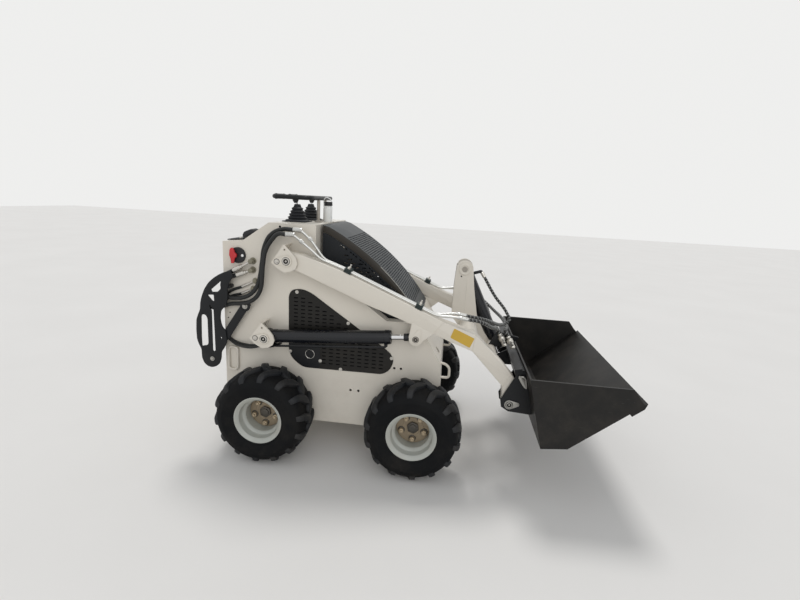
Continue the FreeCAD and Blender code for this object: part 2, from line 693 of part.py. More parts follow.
def hood_line(depth):
    """Side view of the hood's top, set in by a depth: a short flat and then an arc in chords."""
    rear, middle, tip = [Vector(x, 0, z) for x, z in (HOOD_REAR, HOOD_MIDDLE, HOOD_TIP)]
    arc = Part.Arc(rear, middle, tip).toShape().Curve
    centre, radius = arc.Center, arc.Radius - depth
    first = math.atan2(rear.z - centre.z, rear.x - centre.x)
    last = math.atan2(tip.z - centre.z, tip.x - centre.x)
    turns = [first + (last - first) * i / HOOD_CHORDS for i in range(HOOD_CHORDS + 1)]
    return ([(HOOD_START[0], HOOD_START[1] - depth)]
            + [(centre.x + radius * math.cos(t), centre.z + radius * math.sin(t)) for t in turns])


def hood():
    wall = HOOD_HALF_WIDTH
    top, under = hood_line(0), hood_line(HOOD_SHEET)
    cover = [slab(top + under[::-1], -wall, wall)]
    skirts = []
    skirt_line = hood_line(HOOD_BAND + SEAT_GAP)
    slots = []
    columns = int((2 * wall - 60) / HOOD_SLOT_PITCH)
    for (x0, z0), (x1, z1) in list(zip(top, top[1:]))[3:-1]:
        run = math.hypot(x1 - x0, z1 - z0)
        ux, uz = (x1 - x0) / run, (z1 - z0) / run
        cx, cz = (x0 + x1) / 2, (z0 + z1) / 2
        half = HOOD_SLOT[1] / 2
        side_view = [(cx + ux * a + uz * b, cz + uz * a - ux * b)
                     for a, b in ((-half, -HOOD_SHEET), (half, -HOOD_SHEET), (half, 3 * HOOD_SHEET),
                                  (-half, 3 * HOOD_SHEET))]
        for k in range(columns):
            y = (k - (columns - 1) / 2) * HOOD_SLOT_PITCH
            slots.append(slab(side_view, y - HOOD_SLOT[0] / 2, y + HOOD_SLOT[0] / 2))
    for sign in (-1, 1):
        outer, inner = sign * wall, sign * (wall - HOOD_SHEET)
        cover.append(slab(top + hood_line(HOOD_BAND)[::-1], outer, inner))
        skirt = slab(skirt_line + [(-90, 712), (HOOD_START[0], 950)], outer, inner)
        for (x0, z0), (x1, z1) in list(zip(skirt_line, skirt_line[1:]))[4:-2]:
            x, z = (x0 + x1) / 2 - 10, (z0 + z1) / 2 - 28
            skirt = skirt.cut(slab(((x - 18, z - 8), (x + 12, z - 8), (x + 12, z + 6), (x - 18, z + 6)),
                                   outer + sign, inner - sign))
        skirts.append(skirt)
    x, z = HOOD_HINGE
    for y in HINGE_SPOTS:
        y0, y1 = y - HINGE_LEAF / 2, y + HINGE_LEAF / 2
        cover.append(rod_y(HOOD_HINGE, 10, y0, y1))
        cover.append(slab(((x - 9, z), (x + 9, z), (x + 9, z + 9), (x - 9, z + 14)), y0, y1))
    body = fuse(cover).cut(group(slots))
    for y in HINGE_SPOTS:
        body = body.cut(rod_y(HOOD_HINGE, HINGE_PIN_R, y - HINGE_LEAF / 2, y + HINGE_LEAF / 2))
    save("hood_panel", body)
    save("hood_skirts", group(skirts))


# Side view of the lift arm, from the pivot round the top to the toe and back
ARM_TOP = ((-480, 1008), (-289, 945), (-23, 833), (182, 747), (332, 702), (463, 575), (527, 506))
ARM_BOTTOM = ((480, 378), (474, 466), (323, 622), (221, 657), (139, 689), (21, 732), (-167, 798), (-524, 941))


def arms():
    for side, sign in SIDES:
        inner = sign * ARM_INNER_Y
        outer = sign * (ARM_INNER_Y + ARM_WIDTH)
        beam = slab(ARM_TOP + ((540, 400), ) + ARM_BOTTOM, inner, outer)
        pieces = [beam, rod_y(ARM_PIVOT, ARM_BOSS_R, inner, outer), rod_y(COUPLER_PIVOT, ARM_TOE_R, inner, outer)]
        tail = slab(((ARM_PIVOT[0], ARM_PIVOT[1] + 39.9), ARM_TOP[0], ARM_BOTTOM[-1],
                     (ARM_PIVOT[0], ARM_PIVOT[1] - 38)), inner, outer)
        pieces.append(tail)
        lobe = ((39, 735), (28, 655), (60, 655), (93, 655), (139, 690), (100, 706))
        for near, far in ((outer, outer - sign * GUSSET_PLATE), (inner, inner + sign * GUSSET_PLATE)):
            pieces.append(slab(lobe, near, far))
            pieces.append(rod_y(ROD_PIVOT, GUSSET_R, near, far))
        arm = fuse(pieces)
        arm = arm.cut(rod_y(ARM_PIVOT, PIN_R, inner, outer))
        arm = arm.cut(rod_y(COUPLER_PIVOT, PIN_R, inner, outer))
        save("arm_%s" % side, arm)


# Side views of the two hard tubes along each arm's top, from the hoses to the front
UPPER_TUBE = ((-544, 1119), (-508, 1119), (-458, 1078), (-394, 992), (-287, 954), (-21, 842), (150, 770), (234, 783),
              (284, 776))
LOWER_TUBE_LINE = ((-571, 1098), (-534, 1098), (-442, 1029), (-404, 995), (-287, 954), (-21, 842), (150, 770),
                   (238, 771), (294, 764))
TUBE_CLAMPS = (-277.0, 61.0)
# Hoses from those tubes on the right arm to the tilt cylinder and the front couplers, (X, Z, distance
# from the middle)
FRONT_HOSES = (
    ((284.8, 776, -328), (336, 768.9, -328), (398, 742, -270), (438, 712, -190), (468, 692, -120), (496, 688, -74),
     (517, 704, -58), (503, 738, -48), (432, 824, -36), (374, 913, -26)),
    ((294.8, 764, -352), (346, 757.9, -350), (404, 722, -292), (430, 700, -220), (446, 684, -165),
     (453.7, 669.7, -131), (466, 648, -131)),
    ((284.8, 776, 328), (336, 768.9, 328), (398, 734, 280), (430, 684, 215), (442, 630, 150), (442, 602, 110),
     (442, 602, 50)),
    ((294.8, 764, 352), (346, 757.9, 352), (408, 722, 292), (462, 690, 200), (500, 672, 90), (508, 664, 0),
     (504, 664, -76), (495, 661, -131), (508, 639, -131)))
FRONT_BRACKET = ((414, 572), (446, 568), (556, 612), (569, 633), (455, 656))
FRONT_COUPLERS = (((466, 648), (500, 588)), ((508, 639), (542, 577)))
TILT_PORT = 390.0
BRACKET_Y = 112.0


def tube_y(sign, which):
    return sign * (ARM_INNER_Y + ARM_WIDTH / 2 + which * TUBE_SPACING / 2)


def arm_tubes():
    tubes, clamps = [], []
    for side, sign in SIDES:
        channels = []
        for table, which, nut in ((UPPER_TUBE, -1, 52), (LOWER_TUBE_LINE, 1, 40)):
            y = tube_y(sign, which)
            line = [(x, y, z) for x, z in table]
            pieces = [sleeve(line[0], line[1], 0, 30, FERRULE_R + 2.0), sleeve(line[1], line[2], nut, 16, NUT_R, 6),
                      sleeve(line[-2], line[-1], 2, 48, FERRULE_R)]
            tubes.append(pipe(line, TUBE_R, sides=6).fuse(pieces))
            channels.append(pipe(line[3:7], TUBE_R + SEAT_GAP, sides=6))
        for x in TUBE_CLAMPS:
            (x0, z0), (x1, z1) = ARM_TOP[1:3] if x < ARM_TOP[2][0] else ARM_TOP[2:4]
            run = math.hypot(x1 - x0, z1 - z0)
            ux, uz = (x1 - x0) / run, (z1 - z0) / run
            z = z0 + (x - x0) * uz / ux
            half = CLAMP_LENGTH / 2
            corners = [(x + ux * a - uz * b, z + uz * a + ux * b)
                       for a, b in ((-half, SEAT_GAP), (half, SEAT_GAP), (half, CLAMP_HEIGHT), (-half, CLAMP_HEIGHT))]
            clamp = slab(corners, sign * (ARM_INNER_Y + 6), sign * (ARM_INNER_Y + ARM_WIDTH - 6))
            clamps.append(clamp.cut(group(channels)))
    save("arm_tubes", group(tubes))
    save("tube_clamps", group(clamps))


def front_hoses():
    save("aux_hoses", group([pipe(line_of(table), TILT_HOSE_R) for table in FRONT_HOSES]))
    plate = slab(FRONT_BRACKET, -BRACKET_Y, -BRACKET_Y - PLATE)
    plate = plate.cut(rod_y(LOWER_TUBE, LOWER_TUBE_R + SEAT_GAP, -BRACKET_Y + 1, -BRACKET_Y - PLATE - 1))
    y = FRONT_HOSES[1][-1][2]
    pieces = []
    for (x0, z0), (x1, z1) in FRONT_COUPLERS:
        near, far = (x0, y, z0), (x1, y, z1)
        pieces += [sleeve(near, far, HOSE_GAP, 69, 13), sleeve(near, far, 18, 20, 17, 6)]
    save("aux_couplers", plate.fuse(pieces))


def line_of(table):
    return [(x, y, z) for x, z, y in table]


def post():
    inner = POST_GAP / 2
    plates = []
    outline = ((227, 975), (219, 852), (219, 700), (256, 655), (300, 630), (400, 545), (445, 520),
               (455, 545), (400, 620), (352, 706), (324, 860), (309, 981))
    for sign in (-1, 1):
        near, far = sign * inner, sign * (inner + POST_PLATE)
        # Seen from above the plate is flat, then bends in towards its front edge and out again at the toe
        plan = ((150, 0), (POST_CREASE_X, 0), (350, POST_BEND), (392, POST_BEND), (440, 3), (500, 3))
        corners = [Vector(x, near - sign * bend, 0) for x, bend in plan]
        corners += [Vector(x, far - sign * bend, 0) for x, bend in reversed(plan)]
        bent = Part.Face(Part.makePolygon(corners + corners[:1])).extrude(Vector(0, 0, 1200))
        plate = slab(outline, near + sign * 20, near - sign * 40).common(bent)
        plate = fuse([plate, rod_y(TILT_PIN, 44, near, far).common(bent)])
        plates.append(plate.cut(rod_y(TILT_PIN, TILT_PIN_R, sign * inner, sign * (inner + POST_PLATE))))
    cross = rod_y(CROSS_TUBE, CROSS_TUBE_R, -ARM_INNER_Y, ARM_INNER_Y)
    lower = rod_y(LOWER_TUBE, LOWER_TUBE_R, -ARM_INNER_Y, ARM_INNER_Y)
    gap = block(100, 700, -inner, inner, 300, 1100)
    save("cross_tubes", group([cross, lower.cut(gap)]))
    save("tilt_post", group([p.cut(cross).cut(lower) for p in plates]))
    pin = rod_y(TILT_PIN, TILT_PIN_R - RUN_FIT, -inner - POST_PLATE, inner + POST_PLATE)
    save("tilt_pin", pin)


def lift_cylinders():
    barrels, rods = [], []
    for side, sign in SIDES:
        middle = sign * (ARM_INNER_Y + ARM_WIDTH / 2)
        half = LIFT_EYE_WIDTH / 2
        y0, y1 = middle - half, middle + half
        start = toward(BARREL_PIVOT, ROD_PIVOT, 20)
        gland = toward(BARREL_PIVOT, ROD_PIVOT, LIFT_GLAND)
        tube = rod_between((start[0], middle, start[1]), (gland[0], middle, gland[1]), LIFT_TUBE_R)
        barrel = fuse([tube, rod_y(BARREL_PIVOT, LIFT_EYE_R + 8, y0, y1)])
        barrel = barrel.cut(rod_y(BARREL_PIVOT, PIN_R, y0, y1))
        bore_start = toward(BARREL_PIVOT, ROD_PIVOT, 60)
        bore = rod_between((bore_start[0], middle, bore_start[1]), (gland[0], middle, gland[1]),
                           LIFT_ROD_R + RUN_FIT)
        lines = []
        for offset, end in ((1, LIFT_GLAND - 25), (-1, 55)):
            y = middle + sign * offset * LINE_SPACING / 2
            lines.append(pipe((barrel_point(2, LINE_DROP, y), barrel_point(end, LINE_DROP, y),
                               barrel_point(end, 25, y)), LINE_R, 12, sides=6))
            lines.append(sleeve(barrel_point(2, LINE_DROP, y), barrel_point(60, LINE_DROP, y), 0, 18, FERRULE_R - 1, 6))
        barrels.append(barrel.fuse(lines).cut(bore))
        rod_start = toward(BARREL_PIVOT, ROD_PIVOT, 140)
        rod_end = toward(BARREL_PIVOT, ROD_PIVOT, 715)
        rod = rod_between((rod_start[0], middle, rod_start[1]), (rod_end[0], middle, rod_end[1]), LIFT_ROD_R)
        rods.append(fuse([rod, rod_y(ROD_PIVOT, LIFT_EYE_R, y0, y1)]))
    save("lift_barrels", group(barrels))
    save("lift_rods", group(rods))


def tilt_cylinder():
    half = TILT_EYE_WIDTH / 2
    start = toward(TILT_PIN, TILT_ROD_PIN, 22)
    gland = toward(TILT_PIN, TILT_ROD_PIN, TILT_GLAND)
    tube = rod_between((start[0], 0, start[1]), (gland[0], 0, gland[1]), TILT_TUBE_R)
    barrel = fuse([tube, rod_y(TILT_PIN, TILT_EYE_R, -half, half)])
    barrel = barrel.cut(rod_y(TILT_PIN, TILT_PIN_R, -half, half))
    bore_start = toward(TILT_PIN, TILT_ROD_PIN, 60)
    bore = rod_between((bore_start[0], 0, bore_start[1]), (gland[0], 0, gland[1]), TILT_ROD_R + RUN_FIT)
    # The port elbow at the top carries on the line of the hose that ends there; the lower port is on the left
    before, end = [Vector(*p) for p in line_of(FRONT_HOSES[0])[-2:]]
    run = (end - before).normalize()
    x1, z1 = toward(TILT_PIN, TILT_ROD_PIN, 44)
    elbow = pipe(((x1, -12, z1 + 8), tuple(end + run * 36), tuple(end + run * HOSE_GAP)), TILT_HOSE_R, 8, sides=6)
    x2, z2 = toward(TILT_PIN, TILT_ROD_PIN, TILT_PORT)
    port = prism_y((x2, z2), TILT_HOSE_R + 1, TILT_ROD_R + 6, FRONT_HOSES[2][-1][2] - HOSE_GAP, 6)
    save("tilt_barrel", barrel.fuse([elbow, port]).cut(bore))
    rod_start = toward(TILT_PIN, TILT_ROD_PIN, 100)
    rod_end = toward(TILT_PIN, TILT_ROD_PIN, 500)
    rod = rod_between((rod_start[0], 0, rod_start[1]), (rod_end[0], 0, rod_end[1]), TILT_ROD_R)
    save("tilt_rod", fuse([rod, rod_y(TILT_ROD_PIN, TILT_EYE_R, -half, half)]))


def along_back(distance, depth):
    """A point down the bucket's back from its top, set off behind the back face."""
    top, bottom = BUCKET_BACK_TOP, BUCKET_BACK_BOTTOM
    length = math.hypot(bottom[0] - top[0], bottom[1] - top[1])
    ux, uz = (bottom[0] - top[0]) / length, (bottom[1] - top[1]) / length
    return (top[0] + ux * distance + uz * depth, top[1] + uz * distance - ux * depth)


def coupler():
    half = ARM_INNER_Y + ARM_WIDTH + EAR_GAP + EAR_PLATE
    frame = slab((along_back(18, SEAT_GAP), along_back(18, 12), along_back(235, 12), along_back(235, SEAT_GAP)),
                 -half, half)
    rail = slab((along_back(10, 12), along_back(10, 46), along_back(48, 46), along_back(48, 12)), -half, half)
    pieces = [frame, rail]
    ear = ((470, 405), (476, 372), (510, 352), along_back(235, 12), along_back(12, 12), (520, 510))
    toe_inner = ARM_INNER_Y - EAR_GAP
    toe_outer = ARM_INNER_Y + ARM_WIDTH + EAR_GAP
    for sign in (-1, 1):
        for y in (toe_outer, toe_inner - EAR_PLATE):
            plate = slab(ear, sign * y, sign * (y + EAR_PLATE))
            pieces.append(plate)
    lug_gap = TILT_EYE_WIDTH / 2 + 5
    lug = ((480, 510), (470, 470), (500, 455), along_back(120, 12), along_back(20, 12))
    for sign in (-1, 1):
        pieces.append(slab(lug, sign * lug_gap, sign * (lug_gap + 10)))
    body = fuse(pieces)
    for sign in (-1, 1):
        body = body.cut(rod_y(COUPLER_PIVOT, PIN_R, sign * (toe_inner - EAR_PLATE), sign * half))
    save("coupler_frame", body)
    pins = []
    for side, sign in SIDES:
        shaft = rod_y(COUPLER_PIVOT, PIN_R - RUN_FIT, sign * (toe_inner - EAR_PLATE), sign * (half + SEAT_GAP))
        x, z = COUPLER_PIVOT
        lock = slab(((x - 16, z + 14), (x - 16, z - 14), (x + 52, z - 8), (x + 52, z + 18)),
                    sign * (half + SEAT_GAP), sign * (half + SEAT_GAP + 6))
        pins.append(fuse([shaft, lock]))
    save("coupler_pins", group(pins))


def bucket():
    inside = BUCKET_HALF_WIDTH - BUCKET_SIDE - SEAT_GAP
    floor_end = toward(BUCKET_TIP, BUCKET_HEEL, 40)
    shell = sheet((BUCKET_BACK_TOP, BUCKET_BACK_BOTTOM, BUCKET_HEEL, floor_end), BUCKET_SHEET, -inside, inside, 1)
    save("bucket_shell", shell)
    outline = (BUCKET_BACK_TOP, BUCKET_BACK_BOTTOM, BUCKET_HEEL, toward(BUCKET_TIP, BUCKET_HEEL, 12),
               BUCKET_MOUTH_STEP, BUCKET_MOUTH_TOP)
    sides = [slab(outline, sign * (BUCKET_HALF_WIDTH - BUCKET_SIDE), sign * BUCKET_HALF_WIDTH) for _, sign in SIDES]
    save("bucket_sides", group(sides))
    edge = []
    for back, depth in ((EDGE_LENGTH, SEAT_GAP), (0, SEAT_GAP), (9, 6), (24, EDGE_THICK), (EDGE_LENGTH, EDGE_THICK)):
        x, z = toward(BUCKET_TIP, BUCKET_HEEL, back)
        slope = math.atan2(BUCKET_TIP[1] - BUCKET_HEEL[1], BUCKET_TIP[0] - BUCKET_HEEL[0])
        edge.append((x + depth * math.sin(slope), z - depth * math.cos(slope)))
    save("cutting_edge", slab(edge, -BUCKET_HALF_WIDTH, BUCKET_HALF_WIDTH))


wheels()
axle_housings()
side_plates()
pivot_pins()
body_shell()
engine()
vent_panels()
rear_guards()
hoses()
tie_downs()
controls()
hood()
arms()
arm_tubes()
front_hoses()
post()
lift_cylinders()
tilt_cylinder()
coupler()
bucket()
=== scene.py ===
import math
import json
import bpy
import bmesh
from mathutils import Matrix, Vector


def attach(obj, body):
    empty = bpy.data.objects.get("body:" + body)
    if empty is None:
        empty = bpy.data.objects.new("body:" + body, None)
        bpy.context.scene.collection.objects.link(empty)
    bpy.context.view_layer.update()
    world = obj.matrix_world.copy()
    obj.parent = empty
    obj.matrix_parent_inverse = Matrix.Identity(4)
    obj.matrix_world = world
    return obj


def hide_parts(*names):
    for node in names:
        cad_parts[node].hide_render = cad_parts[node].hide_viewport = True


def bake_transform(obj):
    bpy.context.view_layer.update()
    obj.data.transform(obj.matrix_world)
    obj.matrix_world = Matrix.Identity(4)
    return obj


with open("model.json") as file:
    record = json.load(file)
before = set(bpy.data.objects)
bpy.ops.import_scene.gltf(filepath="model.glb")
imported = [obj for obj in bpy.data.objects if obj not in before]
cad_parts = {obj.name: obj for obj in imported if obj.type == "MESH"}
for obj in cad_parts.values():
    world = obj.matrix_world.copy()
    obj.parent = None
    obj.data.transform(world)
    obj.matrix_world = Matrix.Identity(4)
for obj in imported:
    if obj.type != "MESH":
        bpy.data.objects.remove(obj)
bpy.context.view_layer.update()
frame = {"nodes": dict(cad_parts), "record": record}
nodes = frame["nodes"]

# Compact skid steer loader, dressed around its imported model. Metres, +X forward
# to the bucket, +Y to the machine's left, +Z up, with the ground at Z = 0.

SIDES = (("right", -1), ("left", 1))
AXLES = (("front", 0.076), ("rear", -0.653))
AXLE_Z = 0.230
WHEEL_Y = 0.412


# ---------------------------------------------------------------- finishes

def socket_in(group, name, kind, value):
    item = group.interface.new_socket(name=name, in_out="INPUT", socket_type=kind)
    item.default_value = value


def socket_out(group, name, kind):
    group.interface.new_socket(name=name, in_out="OUTPUT", socket_type=kind)


def new_group(name, inputs, outputs):
    group = bpy.data.node_groups.new(name, "ShaderNodeTree")
    socket_in(group, "Vector", "NodeSocketVector", (0, 0, 0))
    for label, value in inputs:
        socket_in(group, label, "NodeSocketFloat", value)
    for label, kind in outputs:
        socket_out(group, label, kind)
    return group, group.nodes.new("NodeGroupInput"), group.nodes.new("NodeGroupOutput")


def math_node(tree, operation, first, second=None, clamp=False):
    node = tree.nodes.new("ShaderNodeMath")
    node.operation = operation
    node.use_clamp = clamp
    for place, value in enumerate((first, second)):
        if value is None:
            continue
        if isinstance(value, (int, float)):
            node.inputs[place].default_value = value
        else:
            tree.links.new(value, node.inputs[place])
    return node.outputs[0]


def noise(tree, vector, scale, detail=3.0, roughness=0.5, stretch=None):
    if stretch:
        mapping = tree.nodes.new("ShaderNodeMapping")
        mapping.inputs["Scale"].default_value = stretch
        tree.links.new(vector, mapping.inputs["Vector"])
        vector = mapping.outputs[0]
    node = tree.nodes.new("ShaderNodeTexNoise")
    tree.links.new(vector, node.inputs["Vector"])
    if isinstance(scale, (int, float)):
        node.inputs["Scale"].default_value = scale
    else:
        tree.links.new(scale, node.inputs["Scale"])
    node.inputs["Detail"].default_value = detail
    node.inputs["Roughness"].default_value = roughness
    return node.outputs["Fac"]


def step_mask(tree, value, low, high):
    node = tree.nodes.new("ShaderNodeMapRange")
    node.interpolation_type = "SMOOTHSTEP"
    tree.links.new(value, node.inputs["Value"])
    node.inputs["From Min"].default_value = low
    node.inputs["From Max"].default_value = high
    return node.outputs[0]


def dust_group():
    """Pale dust that gathers low on the machine and on faces that look up."""
    group, start, end = new_group("road_dust", (("Amount", 0.3), ("Height", 0.5)), (("Mask", "NodeSocketFloat"),))
    split = group.nodes.new("ShaderNodeSeparateXYZ")
    group.links.new(start.outputs["Vector"], split.inputs[0])
    lower = math_node(group, "DIVIDE", split.outputs["Z"], start.outputs["Height"])
    lower = math_node(group, "SUBTRACT", 1.0, lower, True)
    face = group.nodes.new("ShaderNodeNewGeometry")
    facing = group.nodes.new("ShaderNodeSeparateXYZ")
    group.links.new(face.outputs["Normal"], facing.inputs[0])
    up = math_node(group, "MULTIPLY", facing.outputs["Z"], 0.5, True)
    both = math_node(group, "MAXIMUM", lower, up)
    broad = step_mask(group, noise(group, start.outputs["Vector"], 9.0, 6.0, 0.62), 0.38, 0.72)
    fine = noise(group, start.outputs["Vector"], 160.0, 2.0)
    cloud = math_node(group, "MULTIPLY", broad, math_node(group, "ADD", fine, 0.45))
    mask = math_node(group, "MULTIPLY", math_node(group, "MULTIPLY", cloud, both), start.outputs["Amount"], True)
    group.links.new(mask, end.inputs["Mask"])
    return group


def scuff_group():
    """Thin scratches and worn spots."""
    group, start, end = new_group("scuffs", (("Amount", 0.3),), (("Mask", "NodeSocketFloat"),))
    vector = start.outputs["Vector"]
    long_marks = step_mask(group, noise(group, vector, 30.0, 4.0, 0.7, (1.0, 1.0, 9.0)), 0.66, 0.72)
    cross_marks = step_mask(group, noise(group, vector, 26.0, 4.0, 0.7, (11.0, 1.4, 1.0)), 0.67, 0.73)
    where = step_mask(group, noise(group, vector, 6.0, 2.0), 0.48, 0.62)
    marks = math_node(group, "MULTIPLY", math_node(group, "MAXIMUM", long_marks, cross_marks), where)
    group.links.new(math_node(group, "MULTIPLY", marks, start.outputs["Amount"], True), end.inputs["Mask"])
    return group


def skin_group():
    """The small unevenness of a sprayed, moulded or ground surface."""
    group, start, end = new_group("skin", (("Scale", 300.0), ("Depth", 0.1)), (("Normal", "NodeSocketVector"),
                                                                            ("Grain", "NodeSocketFloat")))
    grain = noise(group, start.outputs["Vector"], start.outputs["Scale"], 3.0, 0.55)
    bump = group.nodes.new("ShaderNodeBump")
    bump.inputs["Distance"].default_value = 0.0006
    group.links.new(start.outputs["Depth"], bump.inputs["Strength"])
    group.links.new(grain, bump.inputs["Height"])
    group.links.new(bump.outputs[0], end.inputs["Normal"])
    group.links.new(grain, end.inputs["Grain"])
    return group


ROAD_DUST = dust_group()
SCUFFS = scuff_group()
SKIN = skin_group()
DUST_COLOUR = (0.36, 0.30, 0.23, 1.0)


def place_group(tree, group, vector, **values):
    node = tree.nodes.new("ShaderNodeGroup")
    node.node_tree = group
    tree.links.new(vector, node.inputs["Vector"])
    for label, value in values.items():
        node.inputs[label].default_value = value
    return node


def mix_colour(tree, mask, under, over):
    node = tree.nodes.new("ShaderNodeMix")
    node.data_type = "RGBA"
    for place, value in ((0, mask), (6, under), (7, over)):
        if isinstance(value, tuple):
            node.inputs[place].default_value = value
        else:
            tree.links.new(value, node.inputs[place])
    return node.outputs[2]


def finish(name, colour, rough, metal=0.0, vary=0.04, dust=0.2, dust_height=0.5, scuff=0.0, scuff_colour=None,
           skin_scale=300.0, skin_depth=0.1, coat=0.0, rough_vary=0.1, gloss=0.5):
    """A finish with colour variation, dust, scuffs and a fine surface."""
    material = bpy.data.materials.new(name)
    material.use_nodes = True
    tree = material.node_tree
    shader = tree.nodes["Principled BSDF"]
    place = tree.nodes.new("ShaderNodeTexCoord").outputs["Object"]
    cloud = noise(tree, place, 5.0, 5.0, 0.6)
    dark = tuple(c * (1 - vary) for c in colour) + (1.0,)
    light = tuple(min(1.0, c * (1 + vary)) for c in colour) + (1.0,)
    tone = mix_colour(tree, cloud, dark, light)
    worn = tone
    if scuff:
        marks = place_group(tree, SCUFFS, place, Amount=scuff)
        worn = mix_colour(tree, marks.outputs["Mask"], tone, tuple(scuff_colour or (0.3, 0.3, 0.3)) + (1.0,))
    dusting = place_group(tree, ROAD_DUST, place, Amount=dust, Height=dust_height)
    tree.links.new(mix_colour(tree, dusting.outputs["Mask"], worn, DUST_COLOUR), shader.inputs["Base Color"])
    surface = place_group(tree, SKIN, place, Scale=skin_scale, Depth=skin_depth)
    tree.links.new(surface.outputs["Normal"], shader.inputs["Normal"])
    swing = math_node(tree, "MULTIPLY", math_node(tree, "SUBTRACT", cloud, 0.5), rough_vary * 2)
    base = math_node(tree, "ADD", swing, rough)
    dull = math_node(tree, "MULTIPLY", dusting.outputs["Mask"], 0.35)
    tree.links.new(math_node(tree, "ADD", base, dull, True), shader.inputs["Roughness"])
    shader.inputs["Metallic"].default_value = metal
    shader.inputs["Specular IOR Level"].default_value = gloss
    shader.inputs["Coat Weight"].default_value = coat
    shader.inputs["Coat Roughness"].default_value = 0.12
    return material


WHITE_PAINT = finish("white_paint", (0.71, 0.66, 0.575), 0.36, vary=0.04, dust=0.30, dust_height=0.6, scuff=0.12,
                     scuff_colour=(0.42, 0.39, 0.35), skin_scale=420.0, skin_depth=0.12, coat=0.15)
BLACK_PAINT = finish("black_paint", (0.008, 0.009, 0.0105), 0.40, vary=0.15, dust=0.05, dust_height=0.5, scuff=0.25,
                     scuff_colour=(0.06, 0.06, 0.058), skin_scale=380.0, skin_depth=0.15, gloss=0.3)
BUCKET_PAINT = finish("bucket_paint", (0.0085, 0.0078, 0.0070), 0.46, vary=0.25, dust=0.07, dust_height=0.9,
                      scuff=0.45, scuff_colour=(0.085, 0.08, 0.075), skin_scale=260.0, skin_depth=0.2, gloss=0.3)
CYLINDER_PAINT = finish("cylinder_paint", (0.006, 0.007, 0.010), 0.26, vary=0.12, dust=0.04, dust_height=0.5,
                        scuff=0.15, scuff_colour=(0.06, 0.06, 0.06), skin_scale=420.0, skin_depth=0.1, gloss=0.45)
RIM_GREY = finish("rim_grey", (0.44, 0.45, 0.41), 0.40, vary=0.06, dust=0.35, dust_height=0.6, scuff=0.10,
                  skin_scale=420.0, skin_depth=0.1, coat=0.1)
HUB_FLANGE = finish("hub_flange", (0.30, 0.24, 0.165), 0.5, metal=0.35, vary=0.3, dust=0.25, dust_height=0.6,
                  skin_scale=500.0, skin_depth=0.25)
HUB_NUTS = finish("hub_nuts", (0.47, 0.38, 0.26), 0.42, metal=0.55, vary=0.15, dust=0.15, dust_height=0.6,
                  skin_scale=500.0, skin_depth=0.2)
# Dark iron of the castle nut; the same finish paints the shade round the wheel nuts.
HUB_IRON_AND_SHADE = finish("hub_iron_and_shade", (0.085, 0.078, 0.068), 0.45, metal=0.6, vary=0.25, dust=0.2, dust_height=0.6,
                  skin_scale=500.0, skin_depth=0.3)
ZINC = finish("zinc", (0.62, 0.60, 0.56), 0.30, metal=1.0, vary=0.12, dust=0.1, skin_scale=600.0, skin_depth=0.15)
PORT_ZINC = finish("port_zinc", (0.24, 0.225, 0.17), 0.38, metal=0.6, vary=0.3, dust=0.1, skin_scale=600.0,
                   skin_depth=0.2)
TUBE_ZINC = finish("tube_zinc", (0.60, 0.60, 0.58), 0.33, metal=0.85, vary=0.10, dust=0.08, skin_scale=600.0,
                   skin_depth=0.12)
POST_STEEL = finish("post_steel", (0.36, 0.33, 0.29), 0.42, metal=0.5, vary=0.12, dust=0.05, skin_scale=500.0,
                    skin_depth=0.15)
BOLT_STEEL = finish("bolt_steel", (0.42, 0.41, 0.38), 0.40, metal=0.7, vary=0.15, dust=0.1, skin_scale=500.0,
                    skin_depth=0.2)
CHROME = finish("rod_chrome", (0.75, 0.75, 0.76), 0.10, metal=1.0, vary=0.02, dust=0.03, skin_scale=900.0,
                skin_depth=0.02, rough_vary=0.03)
TYRE_RUBBER = finish("tyre_rubber", (0.0045, 0.005, 0.0058), 0.7, vary=0.3, dust=0.04, dust_height=0.5,
                     skin_scale=520.0, skin_depth=0.5, gloss=0.14)
LUG_RUBBER = finish("lug_rubber", (0.0105, 0.012, 0.0145), 0.6, vary=0.3, dust=0.10, dust_height=0.6, skin_scale=420.0,
                    skin_depth=0.6, gloss=0.35)
HOOD_PAINT = finish("hood_paint", (0.021, 0.026, 0.030), 0.42, vary=0.12, dust=0.05, dust_height=1.2, scuff=0.12,
                    scuff_colour=(0.09, 0.09, 0.09), skin_scale=420.0, skin_depth=0.12, gloss=0.25)
BAND_PAINT = finish("band_paint", (0.033, 0.028, 0.022), 0.42, vary=0.12, dust=0.05, dust_height=1.2, scuff=0.1,
                    scuff_colour=(0.09, 0.08, 0.07), skin_scale=420.0, skin_depth=0.12, gloss=0.3)
SKIRT_PAINT = finish("skirt_paint", (0.007, 0.009, 0.012), 0.42, vary=0.12, dust=0.04, dust_height=1.2, scuff=0.1,
                     scuff_colour=(0.06, 0.06, 0.06), skin_scale=420.0, skin_depth=0.12, gloss=0.3)
VENT_PAINT = finish("vent_paint", (0.010, 0.009, 0.0075), 0.45, vary=0.15, dust=0.08, dust_height=0.8, scuff=0.12,
                    scuff_colour=(0.05, 0.048, 0.045), skin_scale=420.0, skin_depth=0.14, gloss=0.3)
# Near-black used as painted shade: flat discs and sheets stand for the shadow in holes, hollows and behind the vent
# slots.
PAINTED_SHADE = finish("painted_shade", (0.003, 0.003, 0.0035), 0.8, vary=0.3, dust=0.0, skin_scale=300.0,
                     skin_depth=0.2, gloss=0.1)
HOSE_RUBBER = finish("hose_rubber", (0.013, 0.014, 0.014), 0.5, vary=0.15, dust=0.08, skin_scale=700.0,
                     skin_depth=0.3, gloss=0.4)
BOOT_RUBBER = finish("boot_rubber", (0.012, 0.013, 0.016), 0.6, vary=0.1, dust=0.06, skin_scale=500.0,
                     skin_depth=0.3, gloss=0.35)
